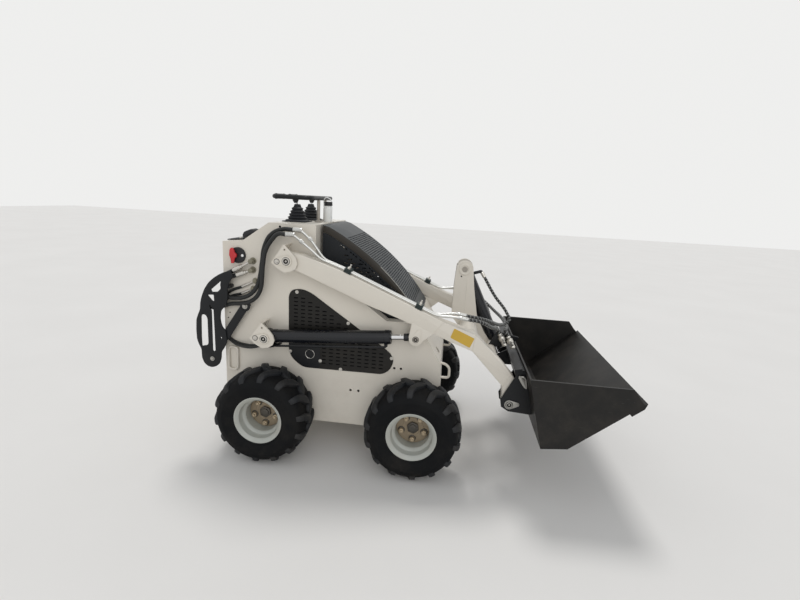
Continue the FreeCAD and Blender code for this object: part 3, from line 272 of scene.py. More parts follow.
BLACK_PLASTIC = finish("black_plastic", (0.016, 0.016, 0.018), 0.48, vary=0.1, dust=0.05, skin_scale=650.0,
                       skin_depth=0.35, gloss=0.4)
GREEN_PLASTIC = finish("clamp_plastic", (0.020, 0.032, 0.030), 0.5, vary=0.1, dust=0.05, skin_scale=650.0,
                       skin_depth=0.3, gloss=0.35)
# A light grey: partly the guard's own colour, partly lightened to paint the highlights along the spiral.
SPIRAL_GUARD = finish("spiral_guard", (0.24, 0.24, 0.23), 0.2, vary=0.2, dust=0.1, skin_scale=650.0,
                      skin_depth=0.2)
WHITE_PLASTIC = finish("white_plastic", (0.88, 0.88, 0.85), 0.40, vary=0.02, dust=0.06, skin_scale=500.0,
                       skin_depth=0.12)
OCHRE_PLATE = finish("ochre_plate", (0.60, 0.38, 0.045), 0.42, vary=0.07, dust=0.10, skin_scale=500.0,
                     skin_depth=0.08)
RED_PLASTIC = finish("red_plastic", (0.55, 0.025, 0.03), 0.38, vary=0.07, dust=0.05, skin_scale=500.0,
                     skin_depth=0.1)
IRON = finish("engine_iron", (0.03, 0.03, 0.032), 0.6, metal=0.3, vary=0.2, dust=0.1, skin_scale=200.0,
              skin_depth=0.5)

SLOT_FINISH = {"white_paint": WHITE_PAINT, "black_paint": BLACK_PAINT, "rim_grey": RIM_GREY, "tyre": TYRE_RUBBER,
               "zinc": ZINC, "black_rubber": HOSE_RUBBER, "white_plastic": WHITE_PLASTIC,
               "black_plastic": BLACK_PLASTIC, "ochre_plate": OCHRE_PLATE, "engine_iron": IRON}
NODE_FINISH = {"bucket_shell": BUCKET_PAINT, "bucket_sides": BUCKET_PAINT, "cutting_edge": BUCKET_PAINT,
               "lift_rods": CHROME, "tilt_rod": CHROME, "control_levers": BOOT_RUBBER,
               "lift_barrels": CYLINDER_PAINT, "tilt_barrel": CYLINDER_PAINT, "tube_clamps": GREEN_PLASTIC}
for part in frame["record"]["subparts"]:
    name = part["node"]
    nodes[name].data.materials.clear()
    nodes[name].data.materials.append(NODE_FINISH.get(name, SLOT_FINISH[part["material_slot"]]))


# ---------------------------------------------------------------- floor, light and camera

def studio():
    bpy.ops.object.select_all(action="DESELECT")
    bpy.ops.mesh.primitive_plane_add(size=40, location=(0, 0, 0))
    floor = bpy.context.object
    floor.name = "studio_floor"
    material = bpy.data.materials.new("floor_paper")
    material.use_nodes = True
    tree = material.node_tree
    shader = tree.nodes["Principled BSDF"]
    place = tree.nodes.new("ShaderNodeTexCoord").outputs["Object"]
    tone = mix_colour(tree, noise(tree, place, 1.2, 6.0), (0.70, 0.68, 0.65, 1), (0.76, 0.74, 0.71, 1))
    tree.links.new(tone, shader.inputs["Base Color"])
    shader.inputs["Roughness"].default_value = 0.85
    floor.data.materials.append(material)
    world = bpy.data.worlds.new("studio_air")
    bpy.context.scene.world = world
    world.use_nodes = True
    tree = world.node_tree
    paths = tree.nodes.new("ShaderNodeLightPath")
    soft, shown = tree.nodes["Background"], tree.nodes.new("ShaderNodeBackground")
    soft.inputs["Color"].default_value = (0.93, 0.96, 1.0, 1)
    soft.inputs["Strength"].default_value = 0.62
    shown.inputs["Color"].default_value = (0.86, 0.86, 0.85, 1)
    seen = math_node(tree, "ADD", paths.outputs["Is Glossy Ray"], paths.outputs["Is Transmission Ray"])
    seen = math_node(tree, "ADD", paths.outputs["Is Camera Ray"], seen, True)
    mixer = tree.nodes.new("ShaderNodeMixShader")
    tree.links.new(seen, mixer.inputs[0])
    tree.links.new(soft.outputs[0], mixer.inputs[1])
    tree.links.new(shown.outputs[0], mixer.inputs[2])
    tree.links.new(mixer.outputs[0], tree.nodes["World Output"].inputs["Surface"])
    for name, way, power, spread in (("key_sun", (0.05, -0.45, -1.0), 1.15, 16), ("fill_sun", (-0.3, 1.0, -0.55), 0.55, 40)):
        lamp = bpy.data.lights.new(name, "SUN")
        lamp.energy = power
        lamp.angle = math.radians(spread)
        holder = bpy.data.objects.new(name, lamp)
        bpy.context.collection.objects.link(holder)
        holder.rotation_euler = Vector(way).to_track_quat("-Z", "Y").to_euler()


# The photo's camera: place, then its turn to the rear, dip and roll in degrees
CAMERA_AT = (0.1890, -2.36006, 1.28527)
CAMERA_YAW, CAMERA_DIP, CAMERA_ROLL = 6.09, 12.67, 3.18
CAMERA_LENS = 36.0 * 448.96 / 800.0


def camera():
    yaw, dip, roll = [math.radians(v) for v in (CAMERA_YAW, CAMERA_DIP, CAMERA_ROLL)]
    right = Vector((math.cos(yaw), math.sin(yaw), 0))
    ahead = Vector((-math.sin(yaw) * math.cos(dip), math.cos(yaw) * math.cos(dip), -math.sin(dip)))
    above = right.cross(ahead)
    across = right * math.cos(roll) + above * math.sin(roll)
    above = above * math.cos(roll) - right * math.sin(roll)
    data = bpy.data.cameras.new("photo_camera")
    data.lens = CAMERA_LENS
    data.sensor_width = 36.0
    eye = bpy.data.objects.new("photo_camera", data)
    bpy.context.collection.objects.link(eye)
    turn = Matrix((across, above, -ahead)).transposed().to_4x4()
    eye.matrix_world = Matrix.Translation(CAMERA_AT) @ turn
    bpy.context.scene.camera = eye


studio()
camera()
bpy.context.scene.view_settings.view_transform = "Standard"


# ---------------------------------------------------------------- ways of making a piece

def clear():
    bpy.ops.object.select_all(action="DESELECT")


def pick(piece):
    clear()
    piece.select_set(True)
    bpy.context.view_layer.objects.active = piece


def open_mesh(piece, chosen="SELECT"):
    pick(piece)
    bpy.ops.object.mode_set(mode="EDIT")
    bpy.ops.mesh.select_all(action=chosen)


def close_mesh():
    bpy.ops.object.mode_set(mode="OBJECT")


def shape_with(piece, kind, **values):
    """Add a modifier with these settings and apply it."""
    pick(piece)
    modifier = piece.modifiers.new(kind.lower(), kind)
    for label, value in values.items():
        setattr(modifier, label, value)
    bpy.ops.object.modifier_apply(modifier=modifier.name)
    return piece


def eased(piece, width, segments=2, angle=30.0):
    return shape_with(piece, "BEVEL", width=width, segments=segments, limit_method="ANGLE",
                      angle_limit=math.radians(angle), harden_normals=False)


def fixed(piece):
    """Move a piece's place and turn into its mesh."""
    pick(piece)
    bpy.ops.object.transform_apply(location=True, rotation=True, scale=True)
    return piece


def joined(pieces):
    pieces = [fixed(piece) for piece in pieces]
    clear()
    for piece in pieces:
        piece.select_set(True)
    bpy.context.view_layer.objects.active = pieces[0]
    if len(pieces) > 1:
        bpy.ops.object.join()
    return pieces[0]


def copied(piece):
    twin = piece.copy()
    twin.data = piece.data.copy()
    bpy.context.collection.objects.link(twin)
    return twin


def mirrored(piece):
    """The same piece on the other side of the machine."""
    twin = fixed(copied(piece))
    open_mesh(twin)
    bpy.ops.transform.mirror(constraint_axis=(False, True, False), center_override=(0, 0, 0))
    bpy.ops.mesh.flip_normals()
    close_mesh()
    return twin


def settle(piece, name, look, body, replaces=(), angle=32.0):
    """Finish a piece: its name, finish, shading, body and the nodes it stands for."""
    fixed(piece)
    piece.name = name
    piece.data.name = name
    piece.data.materials.clear()
    piece.data.materials.append(look)
    pick(piece)
    bpy.ops.object.shade_smooth_by_angle(angle=math.radians(angle))
    if body:
        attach(piece, body)
    if replaces:
        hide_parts(*replaces)
    return piece


def outline_face(corners):
    """A flat face with these corners, made from a circle's."""
    clear()
    bpy.ops.mesh.primitive_circle_add(vertices=len(corners), radius=0.1, fill_type="NGON")
    piece = bpy.context.object
    for vertex, corner in zip(piece.data.vertices, corners):
        vertex.co = corner
    return piece


def plate(outline, y0, y1, ease=0.0, segments=2):
    """A plate of an (X, Z) outline in millimetres, from one Y to the other."""
    piece = outline_face([(x / 1000, y0 / 1000, z / 1000) for x, z in outline])
    open_mesh(piece)
    bpy.ops.mesh.extrude_region_move(TRANSFORM_OT_translate={"value": (0, (y1 - y0) / 1000, 0)})
    bpy.ops.mesh.select_all(action="SELECT")
    bpy.ops.mesh.normals_make_consistent(inside=False)
    close_mesh()
    if ease:
        eased(piece, ease / 1000, segments)
    return piece


def lathe(profile, steps=64, axis="Y"):
    """A closed profile of (radius, along) in millimetres, spun about the axis through the origin."""
    clear()
    bpy.ops.mesh.primitive_circle_add(vertices=len(profile), radius=0.1)
    piece = bpy.context.object
    for vertex, (radius, along) in zip(piece.data.vertices, profile):
        vertex.co = (radius / 1000, along / 1000, 0)
    open_mesh(piece)
    bpy.ops.mesh.spin(steps=steps, angle=2 * math.pi, center=(0, 0, 0), axis=(0, 1, 0))
    bpy.ops.mesh.select_all(action="SELECT")
    bpy.ops.mesh.remove_doubles(threshold=0.00002)
    bpy.ops.mesh.delete_loose()
    bpy.ops.mesh.select_all(action="SELECT")
    bpy.ops.mesh.normals_make_consistent(inside=False)
    close_mesh()
    if axis == "Z":
        piece.rotation_euler = (math.radians(90), 0, 0)
    elif axis == "X":
        piece.rotation_euler = (0, 0, math.radians(-90))
    return fixed(piece)


def placed(piece, x, y, z):
    piece.location = (x / 1000, y / 1000, z / 1000)
    return fixed(piece)


def disc(radius, y0, y1, at, sides=48, ease=0.0, segments=2, turn=0.0):
    """A round or many-sided bar along Y, at an (X, Z) place in millimetres."""
    clear()
    bpy.ops.mesh.primitive_cylinder_add(vertices=sides, radius=radius / 1000, depth=abs(y1 - y0) / 1000,
                                        rotation=(math.radians(90), math.radians(turn), 0),
                                        location=(at[0] / 1000, (y0 + y1) / 2000, at[1] / 1000))
    piece = fixed(bpy.context.object)
    if ease:
        eased(piece, ease / 1000, segments)
    return piece


def rod(start, end, radius, sides=24, ease=0.0, segments=2):
    """A round bar between two (X, Y, Z) points in millimetres."""
    start, end = Vector(start) / 1000, Vector(end) / 1000
    clear()
    bpy.ops.mesh.primitive_cylinder_add(vertices=sides, radius=radius / 1000, depth=(end - start).length,
                                        location=(start + end) / 2,
                                        rotation=(end - start).to_track_quat("Z", "Y").to_euler())
    piece = fixed(bpy.context.object)
    if ease:
        eased(piece, ease / 1000, segments)
    return piece


def box(x0, x1, y0, y1, z0, z1, ease=1.0, segments=2):
    clear()
    bpy.ops.mesh.primitive_cube_add(size=1, location=((x0 + x1) / 2000, (y0 + y1) / 2000, (z0 + z1) / 2000),
                                    scale=(abs(x1 - x0) / 1000, abs(y1 - y0) / 1000, abs(z1 - z0) / 1000))
    piece = fixed(bpy.context.object)
    if ease:
        eased(piece, ease / 1000, segments)
    return piece


def hose(points, radius, sides=4, smooth=True, cyclic=False, steps=10):
    """A round tube or hose along (X, Y, Z) points in millimetres, in one smooth line."""
    clear()
    line = bpy.data.curves.new("line", "CURVE")
    line.dimensions = "3D"
    line.bevel_depth = radius / 1000
    line.bevel_resolution = sides
    line.resolution_u = steps
    line.use_fill_caps = not cyclic
    run = line.splines.new("BEZIER")
    run.bezier_points.add(len(points) - 1)
    for knot, point in zip(run.bezier_points, points):
        knot.co = Vector(point) / 1000
        knot.handle_left_type = knot.handle_right_type = "AUTO" if smooth else "VECTOR"
    run.use_cyclic_u = cyclic
    piece = bpy.data.objects.new("line", line)
    bpy.context.collection.objects.link(piece)
    pick(piece)
    bpy.ops.object.convert(target="MESH")
    piece = bpy.context.object
    open_mesh(piece)
    bpy.ops.mesh.remove_doubles(threshold=0.00002)
    bpy.ops.mesh.normals_make_consistent(inside=False)
    close_mesh()
    return piece


def hex_bolt(at, y, out, size=10.0, height=7.0, washer=1.6, turn=0.0):
    """A hex head on a washer on a face at y, pointing out along Y."""
    head = disc(size / 2 / math.cos(math.radians(30)), y + out * washer, y + out * (washer + height), at, 6,
                0.12 * size, 1, turn)
    ring = disc(size * 0.95, y - out * 0.4, y + out * washer, at, 24, 0.4, 1)
    return [ring, head]


# ---------------------------------------------------------------- tyres and wheels

TYRE_PROFILE = ((102, 80), (105, 87), (112, 92), (120, 97), (124, 99), (127, 98), (130, 100), (150, 105),
                (168, 107), (172, 108), (176, 107), (188, 103), (198, 97), (206, 88), (211, 76), (214, 60), (215.5, 38),
                (216, 14))
TYRE_LINING = ((204, 14), (203, 50), (196, 76), (180, 92), (160, 97), (130, 90), (112, 84), (102, 74))
LUG_ROWS = ((-14, -2.5, 3.2, 229.0), (-4, 0.0, 5.4, 230.0), (18, 3.5, 6.0, 230.0), (38, 7.0, 5.2, 229.8),
            (50, 9.0, 4.2, 229.2), (66, 10.6, 3.9, 227.0), (80, 11.4, 3.8, 222.5), (90, 11.9, 3.7, 216.5),
            (97, 12.3, 3.4, 208.5), (100, 12.5, 3.0, 201.5))
LUG_ROOTS = (208, 208, 208, 206, 205, 202, 197, 192, 186, 184)
LUGS_A_SIDE = 14


def tread_lug(side):
    """One lug of the tread, from the middle out over a shoulder, lying where the first one lies."""
    clear()
    bpy.ops.mesh.primitive_grid_add(x_subdivisions=len(LUG_ROWS) - 1, y_subdivisions=2, size=0.1)
    lug = bpy.context.object
    open_mesh(lug)
    bpy.ops.mesh.extrude_region_move(TRANSFORM_OT_translate={"value": (0, 0, 0.02)})
    close_mesh()
    rows = len(LUG_ROWS)
    columns = {}
    for vertex in lug.data.vertices:
        row = round((vertex.co.x + 0.05) / 0.1 * (rows - 1))
        across = round(vertex.co.y / 0.05)
        y, turn, half, top = LUG_ROWS[row]
        upper = vertex.co.z > 0.01
        radius = top + (1.2 if across == 0 else 0.0) if upper else LUG_ROOTS[row]
        spread = half * (1.0 if upper else 1.25) * across
        angle = math.radians(turn + spread)
        out = y if upper else y * 0.985
        vertex.co = (radius * math.cos(angle) / 1000, side * out / 1000, radius * math.sin(angle) / 1000)
    open_mesh(lug)
    bpy.ops.mesh.normals_make_consistent(inside=False)
    close_mesh()
    return eased(lug, 0.0016, 2, 40.0)


def tyre():
    """The carcass and its ring of lugs."""
    body_profile = list(TYRE_PROFILE) + [(r, -y) for r, y in TYRE_PROFILE[::-1]]
    body_profile += [(r, -y) for r, y in TYRE_LINING[::-1]] + list(TYRE_LINING)
    pieces = []
    for side in (-1, 1):
        lug = tread_lug(side)
        first = 0.25 if side > 0 else 0.75
        for number in range(LUGS_A_SIDE):
            each = copied(lug)
            each.rotation_euler = (0, -math.radians(360.0 / LUGS_A_SIDE * (number + first)), 0)
            pieces.append(each)
        bpy.data.objects.remove(lug)
    return lathe(body_profile, 96), joined(pieces)


# The wheel seen in section, from its outer lip round to the inner one, (radius, Y) from the tyre's middle
RIM_SECTION = ((117, 95), (119, 93.5), (119, 91), (116, 89.6), (109, 88), (103, 83), (101.5, 78), (101.3, 55),
               (98, 49), (89, 43), (85.6, 38), (85.6, -38), (89, -43), (98, -49), (101.3, -55), (101.5, -78),
               (103, -83), (109, -88), (116, -89.6), (119, -91), (119, -93.5), (117, -95), (113, -95),
               (104, -90), (97.6, -83), (96.4, -77), (96.2, -58), (93.6, -52), (84.6, -46), (81, -40), (80.6, 0),
               (81, 40), (84.6, 46), (93.6, 52), (96.2, 58), (96.4, 77), (97.6, 83), (104, 90), (113, 95))


def wheel_rim():
    barrel = lathe(RIM_SECTION, 72)
    dish = lathe(((81.5, -22), (81.5, -32), (78, -23), (0, -23), (0, -15), (70, -15), (78, -15.5), (81, -19)), 72)
    return joined([barrel, dish])


def wheel_hub():
    """The hub flange, its five nuts on dark rings that paint the shade round them, and the castle nut in the middle."""
    face = -15.0
    flange = lathe(((0, face), (79, face), (80, face + 1.5), (80, face + 7.5), (78, face + 9), (50, face + 9),
                    (48, face + 11), (40, face + 11), (38, face + 9), (0, face + 9)), 64)
    iron_and_shade_rings = [disc(30, face + 8, face + 20, (0, 0), 6, 2.0, 2, 10), disc(19, face + 19, face + 26, (0, 0), 32, 2.0),
            disc(8, face + 25, face + 27, (0, 0), 16, 0.5, 1)]
    nuts = []
    for number in range(5):
        angle = math.radians(270 + 72 * number)
        at = (57 * math.cos(angle), 57 * math.sin(angle))
        # Dark rings under each nut are painted shade round the nut.
        iron_and_shade_rings.append(disc(17.5, face + 8, face + 11.5, at, 32, 1.0))
        nuts += [disc(13, face + 11, face + 28, at, 6, 1.6, 2, 17 * number),
                 disc(7, face + 24, face + 35, at, 20, 1.5)]
    return flange, joined(iron_and_shade_rings), joined(nuts)


def fit_wheels():
    carcass, lugs = tyre()
    flange, iron_and_shade_rings, nuts = wheel_hub()
    models = ((carcass, "tyre_carcass_", TYRE_RUBBER, "tyre", "tyre_"), (lugs, "tyre_lugs_", LUG_RUBBER, "tyre", "tyre_"),
              (wheel_rim(), "dished_rim_", RIM_GREY, "rim_grey", "wheel_"),
              (flange, "hub_flange_", HUB_FLANGE, "rim_grey", "wheel_"),
              (iron_and_shade_rings, "hub_middle_and_shade_rings_", HUB_IRON_AND_SHADE, "rim_grey", "wheel_"),
              (nuts, "hub_nuts_", HUB_NUTS, "rim_grey", "wheel_"))
    for axle, x in AXLES:
        for side, sign in SIDES:
            corner = "%s_%s" % (axle, side)
            body = "wheel_assembly_" + corner
            turn = {"front_right": 12.0, "rear_right": 3.0, "front_left": 20.0, "rear_left": 7.0}[corner]
            for model, name, look, slot, node in models:
                piece = copied(model)
                if node == "tyre_":
                    piece.rotation_euler = (0, math.radians(-turn), 0)
                elif sign < 0:
                    piece.rotation_euler = (0, 0, math.radians(180))
                fixed(piece)
                piece.location = (x, sign * WHEEL_Y, AXLE_Z)
                settle(piece, name + corner, look, body, [node + corner], 28.0)
    for model in models:
        bpy.data.objects.remove(model[0])


fit_wheels()


# ---------------------------------------------------------------- hood and vent panels

def circle_through(a, b, c):
    """Centre and radius of the circle through three (X, Z) points."""
    (ax, az), (bx, bz), (cx, cz) = a, b, c
    d = 2 * (ax * (bz - cz) + bx * (cz - az) + cx * (az - bz))
    a2, b2, c2 = ax * ax + az * az, bx * bx + bz * bz, cx * cx + cz * cz
    x = (a2 * (bz - cz) + b2 * (cz - az) + c2 * (az - bz)) / d
    z = (a2 * (cx - bx) + b2 * (ax - cx) + c2 * (bx - ax)) / d
    return (x, z), math.hypot(ax - x, az - z)


HOOD_START, HOOD_REAR, HOOD_TIP = (-431.0, 1143.0), (-401.0, 1136.0), (66.0, 722.0)
HOOD_ARC, HOOD_RADIUS = circle_through(HOOD_REAR, (-151.0, 971.0), HOOD_TIP)
HOOD_FIRST = math.atan2(HOOD_REAR[1] - HOOD_ARC[1], HOOD_REAR[0] - HOOD_ARC[0])
HOOD_LAST = math.atan2(HOOD_TIP[1] - HOOD_ARC[1], HOOD_TIP[0] - HOOD_ARC[0])
HOOD_LENGTH = HOOD_RADIUS * (HOOD_FIRST - HOOD_LAST)
HOOD_HALF = 230.0
SLOT_PITCH = (36.0, 19.0)
MESH_PITCH = (16.0, 12.0)


def over_hood(along, depth=0.0):
    """The (X, Z) place at a distance along the hood's top from where its curve starts, set in by a depth."""
    if along < 0:
        run = math.hypot(HOOD_REAR[0] - HOOD_START[0], HOOD_REAR[1] - HOOD_START[1])
        ux, uz = (HOOD_REAR[0] - HOOD_START[0]) / run, (HOOD_REAR[1] - HOOD_START[1]) / run
        return HOOD_REAR[0] + ux * along - uz * 0 + uz * depth, HOOD_REAR[1] + uz * along - depth * ux
    turn = HOOD_FIRST - along / HOOD_RADIUS
    radius = HOOD_RADIUS - depth
    return HOOD_ARC[0] + radius * math.cos(turn), HOOD_ARC[1] + radius * math.sin(turn)


def slot_cell(width, height, pitch_x, pitch_y):
    """One cell of pierced sheet lying flat: a small hole inside its share of the sheet."""
    half, end = width / 2, height / 2
    px, py = pitch_x / 2, pitch_y / 2
    around = ((1, 1), (0, 1), (-1, 1), (-1, 0), (-1, -1), (0, -1), (1, -1), (1, 0))
    inner = [(a * half * (0.72 if b else 1.0), b * end * (0.86 if a else 1.0)) for a, b in around]
    outer = [(a * px, b * py) for a, b in around]
    loops = []
    for ring in (inner, outer):
        clear()
        bpy.ops.mesh.primitive_circle_add(vertices=8, radius=0.01)
        loop = bpy.context.object
        for vertex, (x, y) in zip(loop.data.vertices, ring):
            vertex.co = (x / 1000, y / 1000, 0)
        loops.append(loop)
    cell = joined(loops)
    open_mesh(cell)
    bpy.ops.mesh.bridge_edge_loops()
    bpy.ops.mesh.select_all(action="SELECT")
    bpy.ops.mesh.normals_make_consistent(inside=False)
    close_mesh()
    return cell


def repeated(piece, count, offset):
    return shape_with(piece, "ARRAY", count=count, use_relative_offset=False, use_constant_offset=True,
                      constant_offset_displace=Vector(offset) / 1000, use_merge_vertices=True, merge_threshold=0.0001)


def pull_rim(piece, place, shift):
    """Extrude the sheet's rim edges whose ends all lie at this place."""
    open_mesh(piece, "DESELECT")
    bpy.ops.mesh.select_mode(type="EDGE")
    mesh = bmesh.from_edit_mesh(piece.data)
    for edge in mesh.edges:
        edge.select = edge.is_boundary and all(place(vertex.co * 1000) for vertex in edge.verts)
    bmesh.update_edit_mesh(piece.data)
    bpy.ops.mesh.extrude_region_move(TRANSFORM_OT_translate={"value": Vector(shift) / 1000})
    bpy.ops.mesh.select_mode(type="VERT")
    close_mesh()


def band_depth(share):
    """How deep the band along the hood's edge is, at a share of the hood's length."""
    return 34 - 26 * min(1.0, max(0.0, (share - 0.6) / 0.32))


def hood():
    """The hood's pierced and curved top sheet, made flat and then rolled."""
    pitch_x, pitch_y = MESH_PITCH
    columns, rows = 27, int((HOOD_LENGTH - 158) / pitch_y)
    sheet = slot_cell(12.0, 7.2, pitch_x, pitch_y)
    repeated(sheet, columns, (pitch_x, 0, 0))
    repeated(sheet, rows, (0, pitch_y, 0))
    left, right = -pitch_x / 2, (columns - 0.5) * pitch_x
    near, far = -pitch_y / 2, (rows - 0.5) * pitch_y
    margin = HOOD_HALF - columns * pitch_x / 2
    for x, way in ((left, -1), (right, 1)):
        pull_rim(sheet, lambda co, x=x: abs(co.x - x) < 0.5, (way * (margin - 3), 0, 0))
        pull_rim(sheet, lambda co, x=x, way=way: abs(co.x - x - way * (margin - 3)) < 0.5, (way * 3, 0, 0))
    lead = 98.0
    tail = (HOOD_LENGTH - lead - rows * pitch_y) / 3
    here = near
    for step in (24, 24, 25, 25, 15, 15.8):
        pull_rim(sheet, lambda co, y=here: abs(co.y - y) < 0.5, (0, -step, 0))
        here -= step
    for step in range(3):
        pull_rim(sheet, lambda co, y=far + step * tail: abs(co.y - y) < 0.5, (0, tail, 0))
    for vertex in sheet.data.vertices:
        across = vertex.co.x * 1000 - (left + right) / 2
        along = vertex.co.y * 1000 - near + lead
        # The long edges are rolled down a little
        drop = 3.0 if abs(across) > HOOD_HALF - 1 else 0.0
        x, z = over_hood(along, 0.4 + drop)
        vertex.co = (x / 1000, (across - math.copysign(1.0, across) * (drop > 0)) / 1000, z / 1000)
    open_mesh(sheet)
    bpy.ops.mesh.normals_make_consistent(inside=False)
    close_mesh()
    up = sum(face.normal.z * face.area for face in sheet.data.polygons)
    if up < 0:
        open_mesh(sheet)
        bpy.ops.mesh.flip_normals()
        close_mesh()
    shape_with(sheet, "SOLIDIFY", thickness=0.003, offset=-1.0)
    band = []
    steps = 30
    tops = [over_hood(HOOD_LENGTH * k / steps, 1.5) for k in range(-1, steps + 1)]
    tops[0] = (HOOD_START[0] + 0.5, HOOD_START[1] - 2)
    lows = [over_hood(HOOD_LENGTH * k / steps, band_depth(k / steps)) for k in range(-1, steps + 1)]
    lows[0] = (HOOD_START[0] + 0.5, HOOD_START[1] - 34)
    lows[-1] = (lows[-1][0] - 2, lows[-1][1] + 2)
    for sign in (-1, 1):
        band.append(plate(tops + lows[::-1], sign * (HOOD_HALF - 0.6), sign * (HOOD_HALF - 3.6), 0.8))
    settle(joined([sheet]), "pierced_hood", HOOD_PAINT, "hood", ["hood_panel"], 24.0)
    settle(joined(band), "hood_band", BAND_PAINT, "hood", ["hood_panel"], 24.0)
    # Thin pale steel lines along the band's top edges are a painted highlight along those edges.
    edge_highlights = [hose([(x, y, z) for x, z in (over_hood(HOOD_LENGTH * k / 20, 2.4) for k in range(10, 19))], 1.1, 2)
              for y in (-HOOD_HALF + 1, HOOD_HALF - 1)]
    settle(joined(edge_highlights), "hood_edge_highlight", BOLT_STEEL, "hood", (), 40.0)
    pieces = []
    for y in (-150, 150):
        pieces += [disc(10, y - 15, y + 15, (-410, 1125), 32, 1.0), disc(6, y - 22, y + 22, (-410, 1125), 24, 1.0),
                   box(-419, -401, y - 14.8, y + 14.8, 1127, 1134, 1.0)]
    settle(joined(pieces), "hood_hinges", BLACK_PAINT, "hood", ["hood_panel"])


def cut(piece, cutter):
    """Cut one piece's shape out of another."""
    pick(piece)
    modifier = piece.modifiers.new("cut", "BOOLEAN")
    modifier.operation = "DIFFERENCE"
    modifier.solver = "EXACT"
    modifier.use_self = False
    modifier.object = cutter
    bpy.ops.object.modifier_apply(modifier=modifier.name)
    bpy.data.objects.remove(cutter)
    return piece


def inside(x, z, outline):
    hit = False
    for (x0, z0), (x1, z1) in zip(outline, outline[1:] + outline[:1]):
        if (z0 > z) != (z1 > z) and x < (x1 - x0) * (z - z0) / (z1 - z0) + x0:
            hit = not hit
    return hit


def slots_in(outline, first, pitch, size, y0, y1, margin, shift=0.0, keep=None):
    """Cutters for a grid of slots that lie inside an outline, clear of its edge by a margin."""
    low_x, high_x = min(p[0] for p in outline), max(p[0] for p in outline)
    low_z, high_z = min(p[1] for p in outline), max(p[1] for p in outline)
    model = plate([(-size[0] / 2, -size[1] / 2 + 1.5), (-size[0] / 2 + 1.5, -size[1] / 2),
                   (size[0] / 2 - 1.5, -size[1] / 2), (size[0] / 2, -size[1] / 2 + 1.5),
                   (size[0] / 2, size[1] / 2 - 1.5), (size[0] / 2 - 1.5, size[1] / 2),
                   (-size[0] / 2 + 1.5, size[1] / 2), (-size[0] / 2, size[1] / 2 - 1.5)], y0, y1)
    cutters = []
    for row in range(int((high_z - low_z) / pitch[1]) + 2):
        z = first[1] + row * pitch[1]
        for column in range(int((high_x - low_x) / pitch[0]) + 2):
            x = first[0] + (column + shift * (row % 2)) * pitch[0]
            spots = [(x + a * (size[0] / 2 + margin), z + b * (size[1] / 2 + margin)) for a in (-1, 1) for b in (-1, 1)]
            if all(inside(a, b, outline) for a, b in spots) and (keep is None or keep(x, z)):
                cutters.append(placed(copied(model), x, 0, z))
    bpy.data.objects.remove(model)
    return joined(cutters)


def rounded(outline, reach, steps=6):
    """An outline with each corner turned round, reaching this far along its sides at most."""
    points = []
    count = len(outline)
    for i in range(count):
        before, here, after = [Vector(outline[k % count]) for k in (i - 1, i, i + 1)]
        back, on = before - here, after - here
        size = min(reach, back.length * 0.48, on.length * 0.48)
        start, end = here + back.normalized() * size, here + on.normalized() * size
        for k in range(steps + 1):
            t = k / steps
            points.append(tuple(start * (1 - t) ** 2 + here * 2 * t * (1 - t) + end * t * t))
    return points


VENT_BOLTS = ((-534.9, 818.4), (-276.9, 683.1), (-567.3, 513.8), (-413.9, 476.8), (-309.4, 442.2), (-56.3, 524.2))
SKIRT_FOOT = [(-90, 712), (HOOD_START[0], 950)]
VENT_OUTLINE = [(-576, 800), (-560, 828), (-512, 836), (-465, 820), (-208, 648), (-108, 582), (-62, 548), (-45, 514),
                (-60, 465), (-97, 437), (-505, 435), (-560, 480), (-576, 520)]


def hood_sides():
    line = [over_hood(HOOD_LENGTH * k / 24, band_depth(k / 24) + 0.6) for k in range(25)]
    line[-1] = (line[-1][0] - 3, line[-1][1] + 3)
    outline = [(HOOD_START[0] + 1, HOOD_START[1] - 36)] + line + SKIRT_FOOT
    for side, sign in SIDES:
        skirt = plate(outline, sign * 229.4, sign * 226.4)
        holes = slots_in(outline, (-420, 700), SLOT_PITCH, (21, 6), sign * 220, sign * 240, 9, 0.5,
                         lambda x, z: x > -330)
        cut(skirt, holes)
        dashes = []
        for group in range(9):
            for step in range(3):
                x, z = over_hood(95 + group * 62 + step * 17, band_depth((95 + group * 62) / HOOD_LENGTH) + 12)
                dash = disc(3.2, sign * 220, sign * 240, (0, 0), 12)
                dash.scale = (1.9, 1, 1)
                dash.rotation_euler = (0, math.radians(42 + group), 0)
                dashes.append(placed(fixed(dash), x, 0, z))
        cut(skirt, joined(dashes))
        settle(skirt, "pierced_skirt_" + side, SKIRT_PAINT, "hood", ["hood_skirts"], 24.0)


